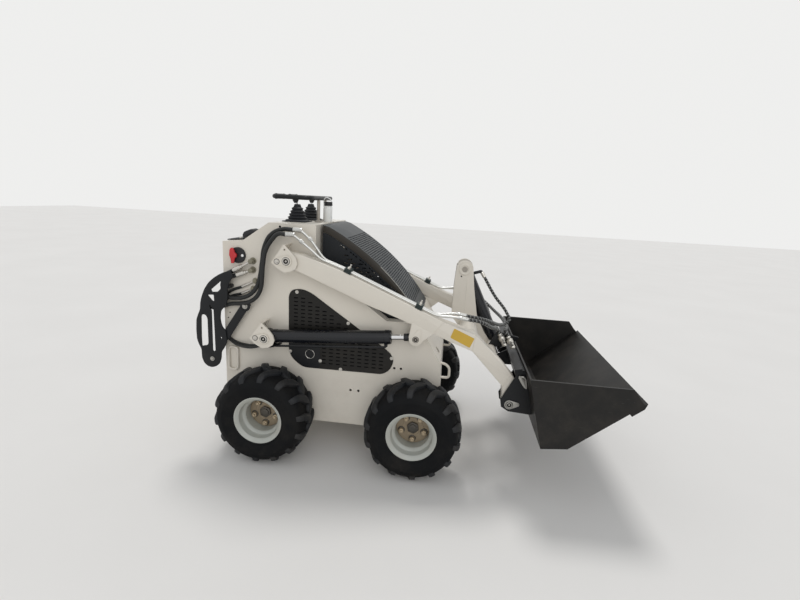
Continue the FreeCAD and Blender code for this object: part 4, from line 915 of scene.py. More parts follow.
def vents():
    outline = rounded(VENT_OUTLINE, 30)
    for side, sign in SIDES:
        panel = plate(outline, sign * 296.2, sign * 298.4)
        holes = slots_in(VENT_OUTLINE, (-540, 447), SLOT_PITCH, (21, 6), sign * 290, sign * 305, 14, 0.0,
                         lambda x, z: not (x < -400 and z < 560))
        cut(panel, holes)
        settle(panel, "pierced_vent_" + side, VENT_PAINT, "chassis", ["vent_panels"], 24.0)
        # The near-black sheet behind the slots is painted shade for the dark inside seen through them.
        settle(plate(outline, sign * 295.3, sign * 296.2), "vent_shade_sheet_" + side, PAINTED_SHADE,
               "chassis", ["vent_panels"], 24.0)
        cover = plate(rounded([(-572, 528), (-572, 560), (-415, 560), (-415, 438), (-500, 438), (-560, 484)], 10),
                      sign * 298.4, sign * 299.6, 0.3, 1)
        settle(cover, "vent_cover_" + side, BLACK_PAINT, "chassis", ["vent_panels"], 24.0)
        bolts = []
        for spot in VENT_BOLTS:
            bolts += hex_bolt(spot, sign * 298.4, sign, 9, 4)
        settle(joined(bolts), "vent_bolts_" + side, ZINC, "chassis")
        ring = lathe([(22.5, -0.8), (23.7, 0), (22.5, 0.8), (21.3, 0)], 40)
        placed(ring, -467, sign * 299.8, 507.5)
        settle(ring, "vent_ring_" + side, ZINC, "chassis")


hood()
hood_sides()
vents()


# ---------------------------------------------------------------- controls on the console

DECK = 1145.3


def bent_line(points, reach, steps=6, closed=False):
    """A line of (X, Y, Z) points with its corners turned round."""
    line = []
    count = len(points)
    for i in range(count):
        here = Vector(points[i])
        if not closed and i in (0, count - 1):
            line.append(here)
            continue
        before, after = Vector(points[i - 1]), Vector(points[(i + 1) % count])
        back, on = before - here, after - here
        size = min(reach, back.length * 0.48, on.length * 0.48)
        start, end = here + back.normalized() * size, here + on.normalized() * size
        for k in range(steps + 1):
            t = k / steps
            line.append(start * (1 - t) ** 2 + here * 2 * t * (1 - t) + end * t * t)
    return line


def bent_bar(points, radius, reach, sides=5, closed=False):
    return hose(bent_line(points, reach, 7, closed), radius, sides, False, closed, 1)


def turned_along(profile, start, end, steps=28):
    """A profile of (radius, along) turned about the line from one point to the next."""
    piece = lathe(profile, steps)
    way = Vector(end) - Vector(start)
    piece.rotation_euler = way.to_track_quat("Y", "Z").to_euler()
    piece.location = Vector(start) / 1000
    return fixed(piece)


def crimped(start, end, length, radius):
    """The ringed metal sleeve on the end of a hose."""
    rings = [(0, 0), (radius - 1.2, 0), (radius, 1.2)]
    step = (length - 8) / 4
    for k in range(4):
        at = 3 + k * step
        rings += [(radius, at), (radius - 0.9, at + 0.8), (radius - 0.9, at + 2.2), (radius, at + 3.0)]
    rings += [(radius, length - 1.2), (radius - 1.2, length), (0, length)]
    return turned_along(rings, start, end)


def six_sided(start, end, length, radius, ease=1.2):
    start, end = Vector(start), Vector(end)
    return rod(start, start + (end - start).normalized() * length, radius, 6, ease)


def handlebar():
    loop = bent_bar(((-697, -200, 1266), (-697, 200, 1266), (-505, 200, 1266), (-505, -200, 1266)), 11, 45, 7, True)
    grips = [turned_along([(10.5, 0), (14, 2), (14, 8), (13.2, 10), (13.2, 100), (14, 102), (14, 108), (10.5, 110)],
                          (-697, y, 1266), (-697, y + 10, 1266), 32) for y in (-150, 40)]
    settle(joined([loop] + grips), "handlebar_loop", BLACK_PAINT, "chassis", ["handlebar"])
    posts = []
    for y in (-60, 60):
        posts.append(rod((-505, y, DECK), (-505, y, 1258), 8.5, 28, 0.8))
        posts.append(turned_along([(8, 0), (19, 0), (20, 1), (20, 4), (19, 5), (12, 6), (9.4, 10), (8, 11)],
                                  (-505, y, DECK), (-505, y, 1200), 32))
    settle(joined(posts), "handlebar_posts", POST_STEEL, "chassis", ["handlebar"])


BELLOWS = ((9, 0), (58, 0), (60, 3), (60, 7), (56, 9), (47, 11), (44, 14), (48, 19), (48, 22), (40, 26), (38, 29),
           (42, 34), (42, 37), (34, 41), (32, 44), (36, 49), (36, 52), (28, 56), (26, 59), (29, 64), (29, 67), (20, 72),
           (17, 80), (15, 86), (8.5, 87), (8.5, 60), (14, 50), (9, 10))


def levers():
    boots, rods, knobs = [], [], []
    for y, lean in ((-110, 9), (110, -4)):
        boots.append(turned_along(BELLOWS, (-600, y, DECK - 0.4), (-600, y, 1300), 40))
        boots.append(box(-660, -540, y - 60, y + 60, DECK, DECK + 3, 1.0))
        rods.append(rod((-600, y, DECK + 60), (-600 - lean, y, DECK + 104), 6.5, 24))
        knobs.append(turned_along([(0, 0), (8, 0), (9.5, 2), (14.5, 12), (15.5, 18), (14, 25), (9, 29), (0, 30)],
                                  (-600 - lean * 0.97, y, DECK + 92), (-600 - lean * 1.5, y, DECK + 150), 32))
    settle(joined(boots), "lever_bellows", BOOT_RUBBER, "chassis", ["control_levers"], 24.0)
    settle(joined(rods), "lever_rods", CHROME, "chassis", ["control_levers"])
    settle(joined(knobs), "lever_knobs", BLACK_PLASTIC, "chassis", ["control_levers"])


def manual_holder():
    tube = turned_along([(0, 0), (20.5, 0), (21, 1), (21, 78), (20, 81), (17.6, 84), (17.6, 86), (0, 86)],
                        (-470, 0, DECK), (-470, 0, 1300), 40)
    settle(tube, "manual_tube_body", WHITE_PLASTIC, "chassis", ["manual_tube"])
    cap = turned_along([(0, 0), (17.4, 0), (21.5, 1), (21.5, 5), (20.8, 6), (21.5, 7), (21.5, 18), (19, 21), (0, 21.4)],
                       (-470, 0, DECK + 84), (-470, 0, 1300), 40)
    settle(cap, "manual_tube_cap", BLACK_PLASTIC, "chassis", ["manual_tube"])
    strap = bent_bar(((-493, 0, 1215), (-496, 0, 1262), (-480, 0, 1274), (-456, 0, 1262), (-449, 0, 1240)), 2.4, 10)
    feet = [turned_along([(0, 0), (6, 0), (6, 3), (4, 4), (0, 4)], (x, -22 * s, DECK), (x, -22 * s, 1200), 20)
            for x, s in ((-495, 1), (-445, 1), (-495, -1), (-445, -1))]
    settle(joined([strap]), "manual_tube_strap", WHITE_PLASTIC, "chassis", ["manual_tube"])
    settle(joined(feet), "console_screws", ZINC, "chassis")


def console_details():
    """The flap and its lock on the rear deck and the switch on the side."""
    flap = plate([(-908, 1043), (-826, 1052), (-826, 1056.5), (-906, 1048)], -250, 250, 1.2)
    bolts = []
    for y in (-238, 238):
        bolts.append(turned_along([(0, 0), (9, 0), (9, 2), (6, 3), (6, 8), (5, 9), (0, 9)], (-843, y, 1053), (-844, y, 1080),
                                  6))
    settle(flap, "rear_deck_flap", BLACK_PAINT, "chassis")
    settle(joined(bolts), "rear_deck_bolts", ZINC, "chassis")
    case = plate([(-809, 1060), (-783, 1076), (-762, 1084), (-755, 1091), (-760, 1103), (-770, 1104), (-805, 1091),
                  (-813, 1076)], -285, -215, 2.5)
    lid = plate([(-800, 1094), (-771, 1106), (-765, 1104), (-796, 1089)], -280, -220, 1.5)
    settle(joined([case, lid]), "deck_socket", BLACK_PLASTIC, "chassis")
    outer = -(295 + 0.3)
    base = turned_along([(0, 0), (38, 0), (38.5, 1), (38.5, 6), (36.5, 8.5), (30, 9), (29, 8), (0, 8)],
                        (-830, outer, 978), (-830, outer - 10, 978), 56)
    hub = turned_along([(0, 0), (15, 0), (15, 5), (13, 7), (0, 7)], (-848, outer - 8, 978), (-848, outer - 20, 978), 32)
    screw = turned_along([(0, 0), (6.5, 0), (6.5, 1.5), (4, 2.6), (0, 2.6)], (-806, outer - 8, 978),
                         (-806, outer - 20, 978), 24)
    settle(joined([base]), "battery_switch_base", BLACK_PLASTIC, "chassis", ["battery_switch"])
    grip = plate([(-857, 939), (-845, 939), (-841, 954), (-838, 966), (-829, 972), (-829, 984), (-838, 990), (-842, 1003),
                  (-847, 1014), (-857, 1014), (-864, 1004), (-866, 978), (-860, 962)], outer - 13, outer - 24, 2.5)
    settle(joined([hub, grip]), "battery_switch_key", RED_PLASTIC, "chassis", ["battery_switch"])
    settle(screw, "battery_switch_screw", WHITE_PLASTIC, "chassis", ["battery_switch"])
    # Dark discs on the side plate are painted shade for the holes there.
    hole = turned_along([(0, 0), (5.5, 0), (5.5, 0.4), (0, 0.4)], (-620.2, -295.05, 1127), (-620.2, -297, 1127), 24)
    small = [disc(3.2, -295, -295.5, at, 20) for at in ((-881.2, 686.8), (-890.4, 659.6))]
    settle(joined([hole] + small), "side_hole_shades", PAINTED_SHADE, "chassis")


handlebar()
levers()
manual_holder()
console_details()


# ---------------------------------------------------------------- hydraulic hoses and tubes

# Centre lines behind the guards, (X, Z, distance out from the body's side)
BIG_HOSES = (
    ((-544.8, 1119, 33), (-592, 1119, 34), (-648, 1092, 36), (-682, 1036, 34), (-697, 957, 33), (-708, 885, 34),
     (-721, 839, 38), (-744, 806, 44), (-784, 782, 42), (-830, 772, 32), (-874, 774, 25.7), (-893, 800, 25.7),
     (-886, 846, 25.7), (-858, 872, 25.7), (-829, 884, 25.7)),
    ((-571.8, 1098, 57), (-606, 1098, 56), (-641, 1066, 52), (-670, 1018, 51), (-683, 953, 52), (-689, 890, 52),
     (-694, 844, 51), (-707, 808, 50), (-734, 776, 46), (-770, 755, 40), (-812, 745, 30), (-860, 738, 25.7),
     (-910, 722, 25.7), (-955, 712, 25.7), (-990, 744, 25.7), (-985, 800, 25.7), (-946, 848, 25.7),
     (-893, 879, 25.7), (-846, 905, 25.7)))
THIN_HOSES = (
    ((-812, 824, 7.6), (-868, 800, 7.6), (-922, 752, 7.6), (-947, 690, 7.6), (-939, 622, 9), (-908, 572, 12),
     (-879, 552, 15), (-846, 534, 24), (-806, 528, 36), (-757, 530, 46), (-700, 546, 58), (-660.7, 551.3, 58)),
    ((-814, 790, 7.6), (-868, 772, 7.6), (-914, 728, 7.6), (-933, 672, 7.6), (-928, 619, 7.6), (-904, 574, 7.6),
     (-876, 553, 7.6), (-846, 538, 8.5), (-806, 532, 16), (-757, 534, 26), (-700, 546, 32), (-660.7, 551.3, 32)))
BIG_PORTS = ((-757, 911), (-756, 955))
THIN_PORTS = ((-745, 858), (-756, 818))
SIDE_Y = 295.0


def port_nut(at, seat, out, radius):
    """A hex nut on the side with its round plug."""
    way = math.copysign(1.0, out - seat)
    return [disc(radius + 4, seat, seat + way * 2.5, at, 36, 0.8), disc(radius, seat, out, at, 6, 1.6, 2, 15),
            disc(radius * 0.72, out - way, out + way * 1.6, at, 28, 0.6),
            disc(radius * 0.34, out, out + way * 2.6, at, 20, 0.5)]


def side_hoses():
    for side, sign in SIDES:
        seat = sign * (SIDE_Y + 0.3)
        fittings, nuts, big, thin = [], [], [], []
        for points, port in zip(BIG_HOSES, BIG_PORTS):
            line = [Vector((x, sign * (SIDE_Y + out), z)) for x, z, out in points]
            big.append(hose(line, 10.2, 5, steps=8))
            end = line[-1]
            elbow = Vector((port[0], end.y, port[1]))
            run = (elbow - end).length
            nuts += port_nut(port, seat, end.y + sign * 9, 13)
            fittings += [rod(elbow, end, 6, 24), crimped(end + (elbow - end) * (0.8 / run), elbow, 40, 11.7),
                         six_sided(end + (elbow - end) * (40 / run), elbow, 12, 10.5)]
        for points, port in zip(THIN_HOSES, THIN_PORTS):
            line = [Vector((x, sign * (SIDE_Y + out), z)) for x, z, out in points]
            thin.append(hose(line, 6.5, 4, steps=8))
            start = line[0]
            elbow = Vector((port[0], start.y, port[1]))
            run = (elbow - start).length
            nuts += port_nut(port, seat, start.y + sign * 8, 11)
            fittings += [rod(elbow, start, 4.8, 20), crimped(start + (elbow - start) * (0.8 / run), elbow, 30, 6.9),
                         six_sided(start + (elbow - start) * (30 / run), elbow, 9, 7.2)]
        settle(joined(nuts), "port_nuts_" + side, PORT_ZINC, "chassis", ["hose_fittings"], 30.0)
        settle(joined(fittings), "hose_fittings_" + side, ZINC, "chassis", ["hose_fittings"], 30.0)
        for pieces, name, far_body, near_end, far_end in (
                (big, "arm_hoses_", "lift_arms", (-0.72, 0, 0.90), (-0.58, 0, 1.10)),
                (thin, "cylinder_hoses_", "lift_cylinder_barrels", (-0.86, 0, 0.55), (-0.70, 0, 0.55))):
            run = joined(pieces)
            settle(run, name + side, HOSE_RUBBER, None, ["lift_hoses"], 40.0)
            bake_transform(run)


UPPER_TUBE = ((-544, 1119), (-508, 1119), (-458, 1078), (-394, 992), (-287, 954), (-21, 842), (150, 770), (234, 783),
              (284, 776))
LOWER_TUBE = ((-571, 1098), (-534, 1098), (-442, 1029), (-404, 995), (-287, 954), (-21, 842), (150, 770),
              (238, 771), (294, 764))
ARM_TOP = ((-289, 945), (-23, 833), (182, 747))
TUBE_CLAMPS = (-277.0, 61.0)


def along_run(a, b, distance):
    return a + (b - a).normalized() * distance


def arm_tubes():
    for side, sign in SIDES:
        pieces = []
        for table, y, nut in ((UPPER_TUBE, 328, 52), (LOWER_TUBE, 352, 40)):
            line = [Vector((x, sign * y, z)) for x, z in table]
            pieces.append(bent_bar(line, 6, 26, 5))
            pieces.append(crimped(line[0], line[1], 32, 11.5))
            pieces.append(six_sided(along_run(line[0], line[1], 31), line[1], 11, 10.5))
            pieces.append(six_sided(along_run(line[1], line[2], nut), line[2], 11, 10.5))
            pieces.append(six_sided(along_run(line[1], line[2], nut + 12), line[2], 7, 9.0))
            pieces.append(crimped(line[-1], line[-2], 28, 9.5))
            pieces.append(six_sided(along_run(line[-1], line[-2], 27), line[-2], 12, 9.6))
            pieces.append(turned_along([(0, 0), (8, 0), (8.8, 1), (8.8, 8), (8, 9), (0, 9)],
                                       along_run(line[-1], line[-2], 40), line[-2]))
        settle(joined(pieces), "hard_tubes_" + side, TUBE_ZINC, "lift_arms", ["arm_tubes"], 30.0)
        blocks, bolts = [], []
        for x in TUBE_CLAMPS:
            (x0, z0), (x1, z1) = ARM_TOP[:2] if x < ARM_TOP[1][0] else ARM_TOP[1:]
            run = math.hypot(x1 - x0, z1 - z0)
            ux, uz = (x1 - x0) / run, (z1 - z0) / run
            z = z0 + (x - x0) * uz / ux

            def spot(along, up):
                return x + ux * along - uz * up, z + uz * along + ux * up

            for low, high in ((0.3, 9.8), (10.6, 20)):
                blocks.append(plate([spot(-17, low), spot(17, low), spot(17, high), spot(-17, high)],
                                    sign * 311, sign * 369, 1.5))
            blocks.append(plate([spot(-15, 20), spot(15, 20), spot(15, 22.5), spot(-15, 22.5)], sign * 313, sign * 367,
                                0.8))
            for y in (340, 361):
                base, tip = spot(0, 22.5), spot(0, 60)
                base, tip = (base[0], sign * y, base[1]), (tip[0], sign * y, tip[1])
                bolts += [turned_along([(0, 0), (8, 0), (8, 1.4), (0, 1.4)], base, tip), six_sided(base, tip, 8.5, 6.8)]
                if y == 340:
                    bolts.append(rod(base, spot_3(spot(0, 42), sign * y), 3.6, 16, 0.6))
        settle(joined(blocks), "tube_clamp_blocks_" + side, GREEN_PLASTIC, "lift_arms", ["tube_clamps"])
        settle(joined(bolts), "tube_clamp_bolts_" + side, ZINC, "lift_arms", ["tube_clamps"])


def spot_3(place, y):
    return place[0], y, place[1]


# From the arms' tubes to the tilt cylinder and the front couplers, (X, Z, Y)
FRONT_HOSES = (
    ((284.8, 776, -328), (336, 768.9, -328), (398, 742, -270), (438, 712, -190), (468, 692, -120), (496, 688, -74),
     (517, 704, -58), (503, 738, -48), (432, 824, -36), (374, 913, -26)),
    ((294.8, 764, -352), (346, 757.9, -350), (404, 722, -292), (430, 700, -220), (446, 684, -165),
     (453.7, 669.7, -131), (466, 648, -131)),
    ((284.8, 776, 328), (336, 768.9, 328), (398, 734, 280), (430, 684, 215), (442, 630, 150), (442, 602, 110),
     (442, 602, 50)),
    ((294.8, 764, 352), (346, 757.9, 352), (408, 722, 292), (462, 690, 200), (500, 672, 90), (508, 664, 0),
     (504, 664, -76), (495, 661, -131), (508, 639, -131)))
FRONT_BRACKET = ((414, 572), (446, 568), (556, 612), (569, 633), (455, 656))
FRONT_COUPLERS = (((466, 648), (500, 588)), ((508, 639), (542, 577)))


def middle_line(points, step):
    """Even points, in millimetres, along a hose's centre line."""
    clear()
    line = bpy.data.curves.new("middle", "CURVE")
    line.dimensions = "3D"
    line.resolution_u = 16
    run = line.splines.new("BEZIER")
    run.bezier_points.add(len(points) - 1)
    for knot, point in zip(run.bezier_points, points):
        knot.co = Vector(point) / 1000
        knot.handle_left_type = knot.handle_right_type = "AUTO"
    holder = bpy.data.objects.new("middle", line)
    bpy.context.collection.objects.link(holder)
    bpy.context.view_layer.update()
    mesh = bpy.data.meshes.new_from_object(holder)
    track = [vertex.co * 1000 for vertex in mesh.vertices]
    bpy.data.objects.remove(holder)
    even, carry = [track[0]], 0.0
    for a, b in zip(track, track[1:]):
        run = (b - a).length
        at = step - carry
        while at <= run:
            even.append(a + (b - a) * (at / run))
            at += step
        carry = (carry + run) % step
    return even


def spiral_guard(points, radius, wire=2.2, pitch=16.0):
    """A spiral of plastic wound along a hose."""
    even = middle_line(points, pitch / 8)
    side = Vector((0, 0, 1))
    coil = []
    for number, (here, after) in enumerate(zip(even, even[1:])):
        way = (after - here).normalized()
        side = (side - way * side.dot(way)).normalized()
        other = way.cross(side)
        turn = math.pi / 4 * number
        coil.append(here + side * radius * math.cos(turn) + other * radius * math.sin(turn))
    return hose(coil, wire, 1, False, False, 1)


def front_hoses():
    hoses = [hose([(x, y, z) for x, z, y in table], 7.2, 5, steps=8) for table in FRONT_HOSES]
    settle(joined(hoses), "front_hoses", HOSE_RUBBER, "lift_arms", ["aux_hoses"], 40.0)
    # The spirals' light grey partly paints the highlights along them.
    guards = [spiral_guard([(x, y, z) for x, z, y in table], 7.6) for table in FRONT_HOSES]
    settle(joined(guards), "front_hose_spirals", SPIRAL_GUARD, "lift_arms", ["aux_hoses"], 60.0)
    bracket = plate(rounded(FRONT_BRACKET, 10), -112, -118, 0.8)
    cut(bracket, disc(24.4, -100, -130, (430, 560), 48))
    settle(bracket, "coupler_bracket", BLACK_PAINT, "lift_arms", ["aux_couplers"])
    pieces = []
    for (x0, z0), (x1, z1) in FRONT_COUPLERS:
        near, far = Vector((x0, -131, z0)), Vector((x1, -131, z1))
        body = [(0, 0.8), (9, 0.8), (9.6, 2), (9.6, 14), (13, 15), (13, 18), (16.4, 18.6), (17, 20), (17, 26),
                (16, 27), (16, 29), (17, 30), (17, 36), (16.4, 37.5), (13, 38), (13, 54), (12, 56), (13, 58), (13, 68),
                (11.5, 69.6), (7, 69.6), (7, 60), (0, 60)]
        pieces.append(turned_along(body, near, far, 36))
        pieces.append(six_sided(along_run(near, far, 3), far, 10, 12.2))
    settle(joined(pieces), "quick_couplers", ZINC, "lift_arms", ["aux_couplers"])


side_hoses()
arm_tubes()
front_hoses()


# ---------------------------------------------------------------- guards, pins, arms and cylinders

GUARD = [(-850, 906), (-884, 897), (-910, 884), (-937, 866), (-964, 842), (-988, 806), (-1003, 769), (-1011, 738),
         (-1014, 702), (-1024, 680), (-1035, 651), (-1038, 598), (-1037, 552), (-1030, 527), (-1015, 497),
         (-1014, 453), (-1004, 425), (-985, 409), (-964, 404), (-940, 411), (-921, 427), (-911, 456), (-908, 493),
         (-895, 511), (-878, 543), (-883, 602), (-903, 628), (-913, 652), (-912, 684), (-900, 710), (-876, 734),
         (-868, 776), (-870, 812), (-858, 846), (-836, 884)]
GUARD_OPENINGS = (([(-1011, 512), (-1012, 560), (-1009, 668), (-1001, 679), (-985, 677), (-976, 660), (-976, 530),
                    (-984, 519), (-1000, 517)], 8),
                  ([(-966, 728), (-958, 731), (-945, 722), (-943, 704), (-940, 497), (-948, 489), (-955, 495),
                    (-954, 700)], 4),
                  ([(-900, 853), (-953, 806), (-947, 795), (-918, 798), (-902, 815), (-904, 835)], 5),
                  ([(-972, 779), (-939, 782), (-938, 748), (-948, 751)], 5))
STRUT_FOOT = (-784.0, 735.0)


def rear_guards():
    for side, sign in SIDES:
        outer = sign * 341
        guard = plate(rounded(GUARD, 9, 3), outer, outer - sign * 6, 1.6)
        openings = [plate(rounded(shape, reach, 4), outer + sign * 5, outer - sign * 12)
                    for shape, reach in GUARD_OPENINGS]
        openings.append(disc(4, outer + sign * 5, outer - sign * 12, (-908, 565), 20))
        cut(guard, joined(openings))
        strut = plate([(-899, 590), (-892, 606), (-797, 752), (-772, 719), (-872, 560), (-886, 545)],
                      outer - sign * 6, outer - sign * 12, 1.0)
        foot = [disc(26, outer - sign * 6, outer - sign * 12, STRUT_FOOT, 40, 1.0),
                disc(13, sign * 295.3, sign * 334, STRUT_FOOT, 28, 1.0),
                disc(10, sign * 295.3, sign * 336, (-866, 826), 28, 1.0)]
        settle(joined([guard, strut] + foot), "rear_guard_" + side, BLACK_PAINT, "chassis",
               ["rear_guards"], 30.0)
        bolts = hex_bolt((-958, 451), outer, sign, 12, 6) + hex_bolt(STRUT_FOOT, outer - sign * 6, sign, 14, 7)
        settle(joined(bolts), "rear_guard_bolts_" + side, BOLT_STEEL, "chassis")


def teardrop(big, big_radius, small, small_radius, steps=16):
    """The outline round a large circle and a small one beside it."""
    across, up = small[0] - big[0], small[1] - big[1]
    heading = math.atan2(up, across)
    spread = math.acos((big_radius - small_radius) / math.hypot(across, up))
    outline = []
    for (x, z), radius, first, sweep in ((big, big_radius, heading + spread, 2 * (math.pi - spread)),
                                         (small, small_radius, heading - spread, 2 * spread)):
        outline += [(x + radius * math.cos(first + sweep * k / steps), z + radius * math.sin(first + sweep * k / steps))
                    for k in range(steps + 1)]
    return outline


ARM_PIVOT, BARREL_PIVOT, ROD_PIVOT = (-554.0, 979.0), (-666.0, 597.0), (60.0, 655.0)
COUPLER_PIVOT, TILT_PIN, TILT_ROD_PIN = (512.0, 386.0), (269.0, 951.0), (499.0, 486.0)
EAR_OUT = 389.3


def pin_end(at, y, sign, radius=17.0):
    """The end of a pin: a raised ring with a grease nipple in it."""
    ring = turned_along([(radius * 0.66, 0), (radius, 0), (radius, 3), (radius * 0.9, 4.6), (radius * 0.74, 4.6),
                         (radius * 0.66, 3.4)], (at[0], y, at[1]), (at[0], y + sign * 10, at[1]), 40)
    nipple = turned_along([(0, 0), (4.6, 0), (4.6, 2.4), (3, 3), (3, 5), (2, 6.4), (0, 6.4)],
                          (at[0], y, at[1]), (at[0], y + sign * 10, at[1]), 18)
    return [ring, nipple]


def pins():
    for side, sign in SIDES:
        locks, ends, hollow_shades = [], [], []
        for at, bolt in ((ARM_PIVOT, (-598, 975)), (BARREL_PIVOT, (-708, 599))):
            y = sign * EAR_OUT
            shape = teardrop(at, 26, bolt, 14)
            locks.append(plate(shape, y, y + sign * 4.5, 1.2))
            locks.append(disc(25.6, y + sign * 4, y + sign * 6.5, at, 48, 1.0))
            ends += pin_end(at, y + sign * 6.2, sign, 17.2)
            ends += hex_bolt(bolt, y + sign * 4.7, sign, 12, 6, 1.6, 20)
            # Dark discs in the pin's middle and round the lock bolt are painted shade for their hollows.
            hollow_shades.append(disc(19.2, y + sign * 4, y + sign * 6.8, at, 40))
            hollow_shades.append(disc(13.6, y + sign * 4, y + sign * 5.0, bolt, 32))
            locks.append(disc(16.9, sign * 295.3, sign * 303, at, 32))
            locks.append(disc(16.9, sign * 376, sign * EAR_OUT, at, 32))
        settle(joined(locks), "pin_locks_" + side, WHITE_PAINT, "chassis", ["pivot_pins"])
        settle(joined(ends), "pin_ends_" + side, ZINC, "chassis", ["pivot_pins"])
        settle(joined(hollow_shades), "pin_hollow_shades_" + side, PAINTED_SHADE, "chassis", ["pivot_pins"])
        y = sign * EAR_OUT
        lock = plate(teardrop(COUPLER_PIVOT, 22, (548, 390), 10), y, y + sign * 4, 1.2)
        parts = [lock] + pin_end(COUPLER_PIVOT, y + sign * 4.4, sign, 15) + hex_bolt((544, 390), y + sign * 4, sign, 9, 4)
        parts += [disc(16.9, sign * 291, sign * 299, COUPLER_PIVOT, 32),
                  disc(16.9, sign * 381, sign * EAR_OUT, COUPLER_PIVOT, 32)]
        settle(joined(parts), "coupler_pin_locks_" + side, BOLT_STEEL, "bucket", ["coupler_pins"])
        # A dark disc in the pin's middle is painted shade for its hollow.
        settle(disc(17, y + sign * 3, y + sign * 4.9, COUPLER_PIVOT, 40), "coupler_pin_hollow_shade_" + side, PAINTED_SHADE,
               "bucket", ["coupler_pins"])
        latch = plate(rounded([(541, 533), (552, 529), (574, 505), (584, 478), (580, 470), (566, 480), (549, 505),
                               (539, 522)], 8, 4), sign * 389.5, sign * 395, 1.5)
        handle = bent_bar(((546, sign * 392, 527), (560, sign * 402, 532), (572, sign * 402, 520), (580, sign * 392, 478)),
                          4, 10)
        settle(joined([latch, handle]), "coupler_latch_" + side, BOLT_STEEL, "bucket")
        ring = turned_along([(18, 0), (31, 0), (31, 2.2), (29, 3.2), (20, 3.2), (18, 2.2)],
                            (269, sign * 53.2, 951), (269, sign * 70, 951), 48)
        settle(ring, "tilt_pin_washer_" + side, WHITE_PAINT, "lift_arms")
        end = turned_along([(0, 0), (13.8, 0), (13.8, 2), (12.6, 3), (7, 3), (6, 1.6), (0, 1.6)],
                           (269, sign * 53.2, 951), (269, sign * 70, 951), 40)
        # A dark disc on the post is painted shade for the hole in it.
        hole = disc(4, sign * 53, sign * 53.3, (254, 914), 20)
        settle(end, "tilt_pin_end_" + side, POST_STEEL, "lift_arms")
        settle(hole, "post_hole_shade_" + side, PAINTED_SHADE, "lift_arms")


POST_SIDE = [(309, 977), (324, 860), (352, 706), (400, 620), (455, 545), (445, 520), (400, 545), (300, 630),
             (256, 655), (219, 700), (219, 852), (227, 972)]
POST_CREASES = (284.0, 350.0)
POST_BEND = 4.0


def part_between(outline, low, high):
    """The part of a closed (X, Z) outline between two X values."""
    for limit, keep in ((low, 1), (high, -1)):
        kept = []
        for (x0, z0), (x1, z1) in zip(outline, outline[1:] + outline[:1]):
            if keep * (x0 - limit) >= 0:
                kept.append((x0, z0))
            if (x0 - limit) * (x1 - limit) < 0:
                kept.append((limit, z0 + (z1 - z0) * (limit - x0) / (x1 - x0)))
        outline = kept
    return outline


def tilt_post():
    """The two bent plates that hold the tilt cylinder."""
    top = [(TILT_PIN[0] + 44 * math.cos(math.radians(a)), TILT_PIN[1] + 44 * math.sin(math.radians(a)))
           for a in range(145, 30, -6)]
    outline = rounded(POST_SIDE, 12, 4) + top
    edges = (100.0,) + POST_CREASES + (600.0,)
    plates = []
    for side, sign in SIDES:
        faces = []
        for low, high in zip(edges, edges[1:]):
            corners = []
            for x, z in part_between(outline, low, high):
                bend = POST_BEND * min(1.0, max(0.0, (x - POST_CREASES[0]) / (POST_CREASES[1] - POST_CREASES[0])))
                corners.append((x / 1000, sign * (43.0 - bend) / 1000, z / 1000))
            faces.append(outline_face(corners))
        sheet = joined(faces)
        open_mesh(sheet)
        bpy.ops.mesh.remove_doubles(threshold=0.00002)
        bpy.ops.mesh.extrude_region_move(TRANSFORM_OT_translate={"value": (0, sign * 0.010, 0)})
        bpy.ops.mesh.select_all(action="SELECT")
        bpy.ops.mesh.normals_make_consistent(inside=False)
        close_mesh()
        plates.append(eased(sheet, 0.0014, 2))
        y = sign * (53 - POST_BEND * 0.2)
        plates.append(hose([(287, y, 905), (286, y, 780), (287, y, 655)], 1.8, 3))
    settle(joined(plates), "tilt_post_plates", WHITE_PAINT, "lift_arms", ["tilt_post"], 20.0)


ARM_OUTLINE = [(-480, 1008), (-289, 945), (-23, 833), (182, 747), (332, 702), (463, 575), (527, 506), (540, 400),
               (536, 376), (522, 359), (501, 359), (486, 369), (480, 386), (474, 466), (323, 622), (221, 657),
               (139, 689), (21, 732), (-167, 798), (-524, 941), (-540, 941.5), (-560, 939.5), (-582, 951), (-594, 979),
               (-586, 1003), (-569, 1017), (-552, 1018.8)]
LOBE = [(39, 735), (28, 660), (28.5, 648), (37, 632), (50, 624.5), (68, 624), (82, 632), (91, 647), (139, 690),
        (100, 706)]


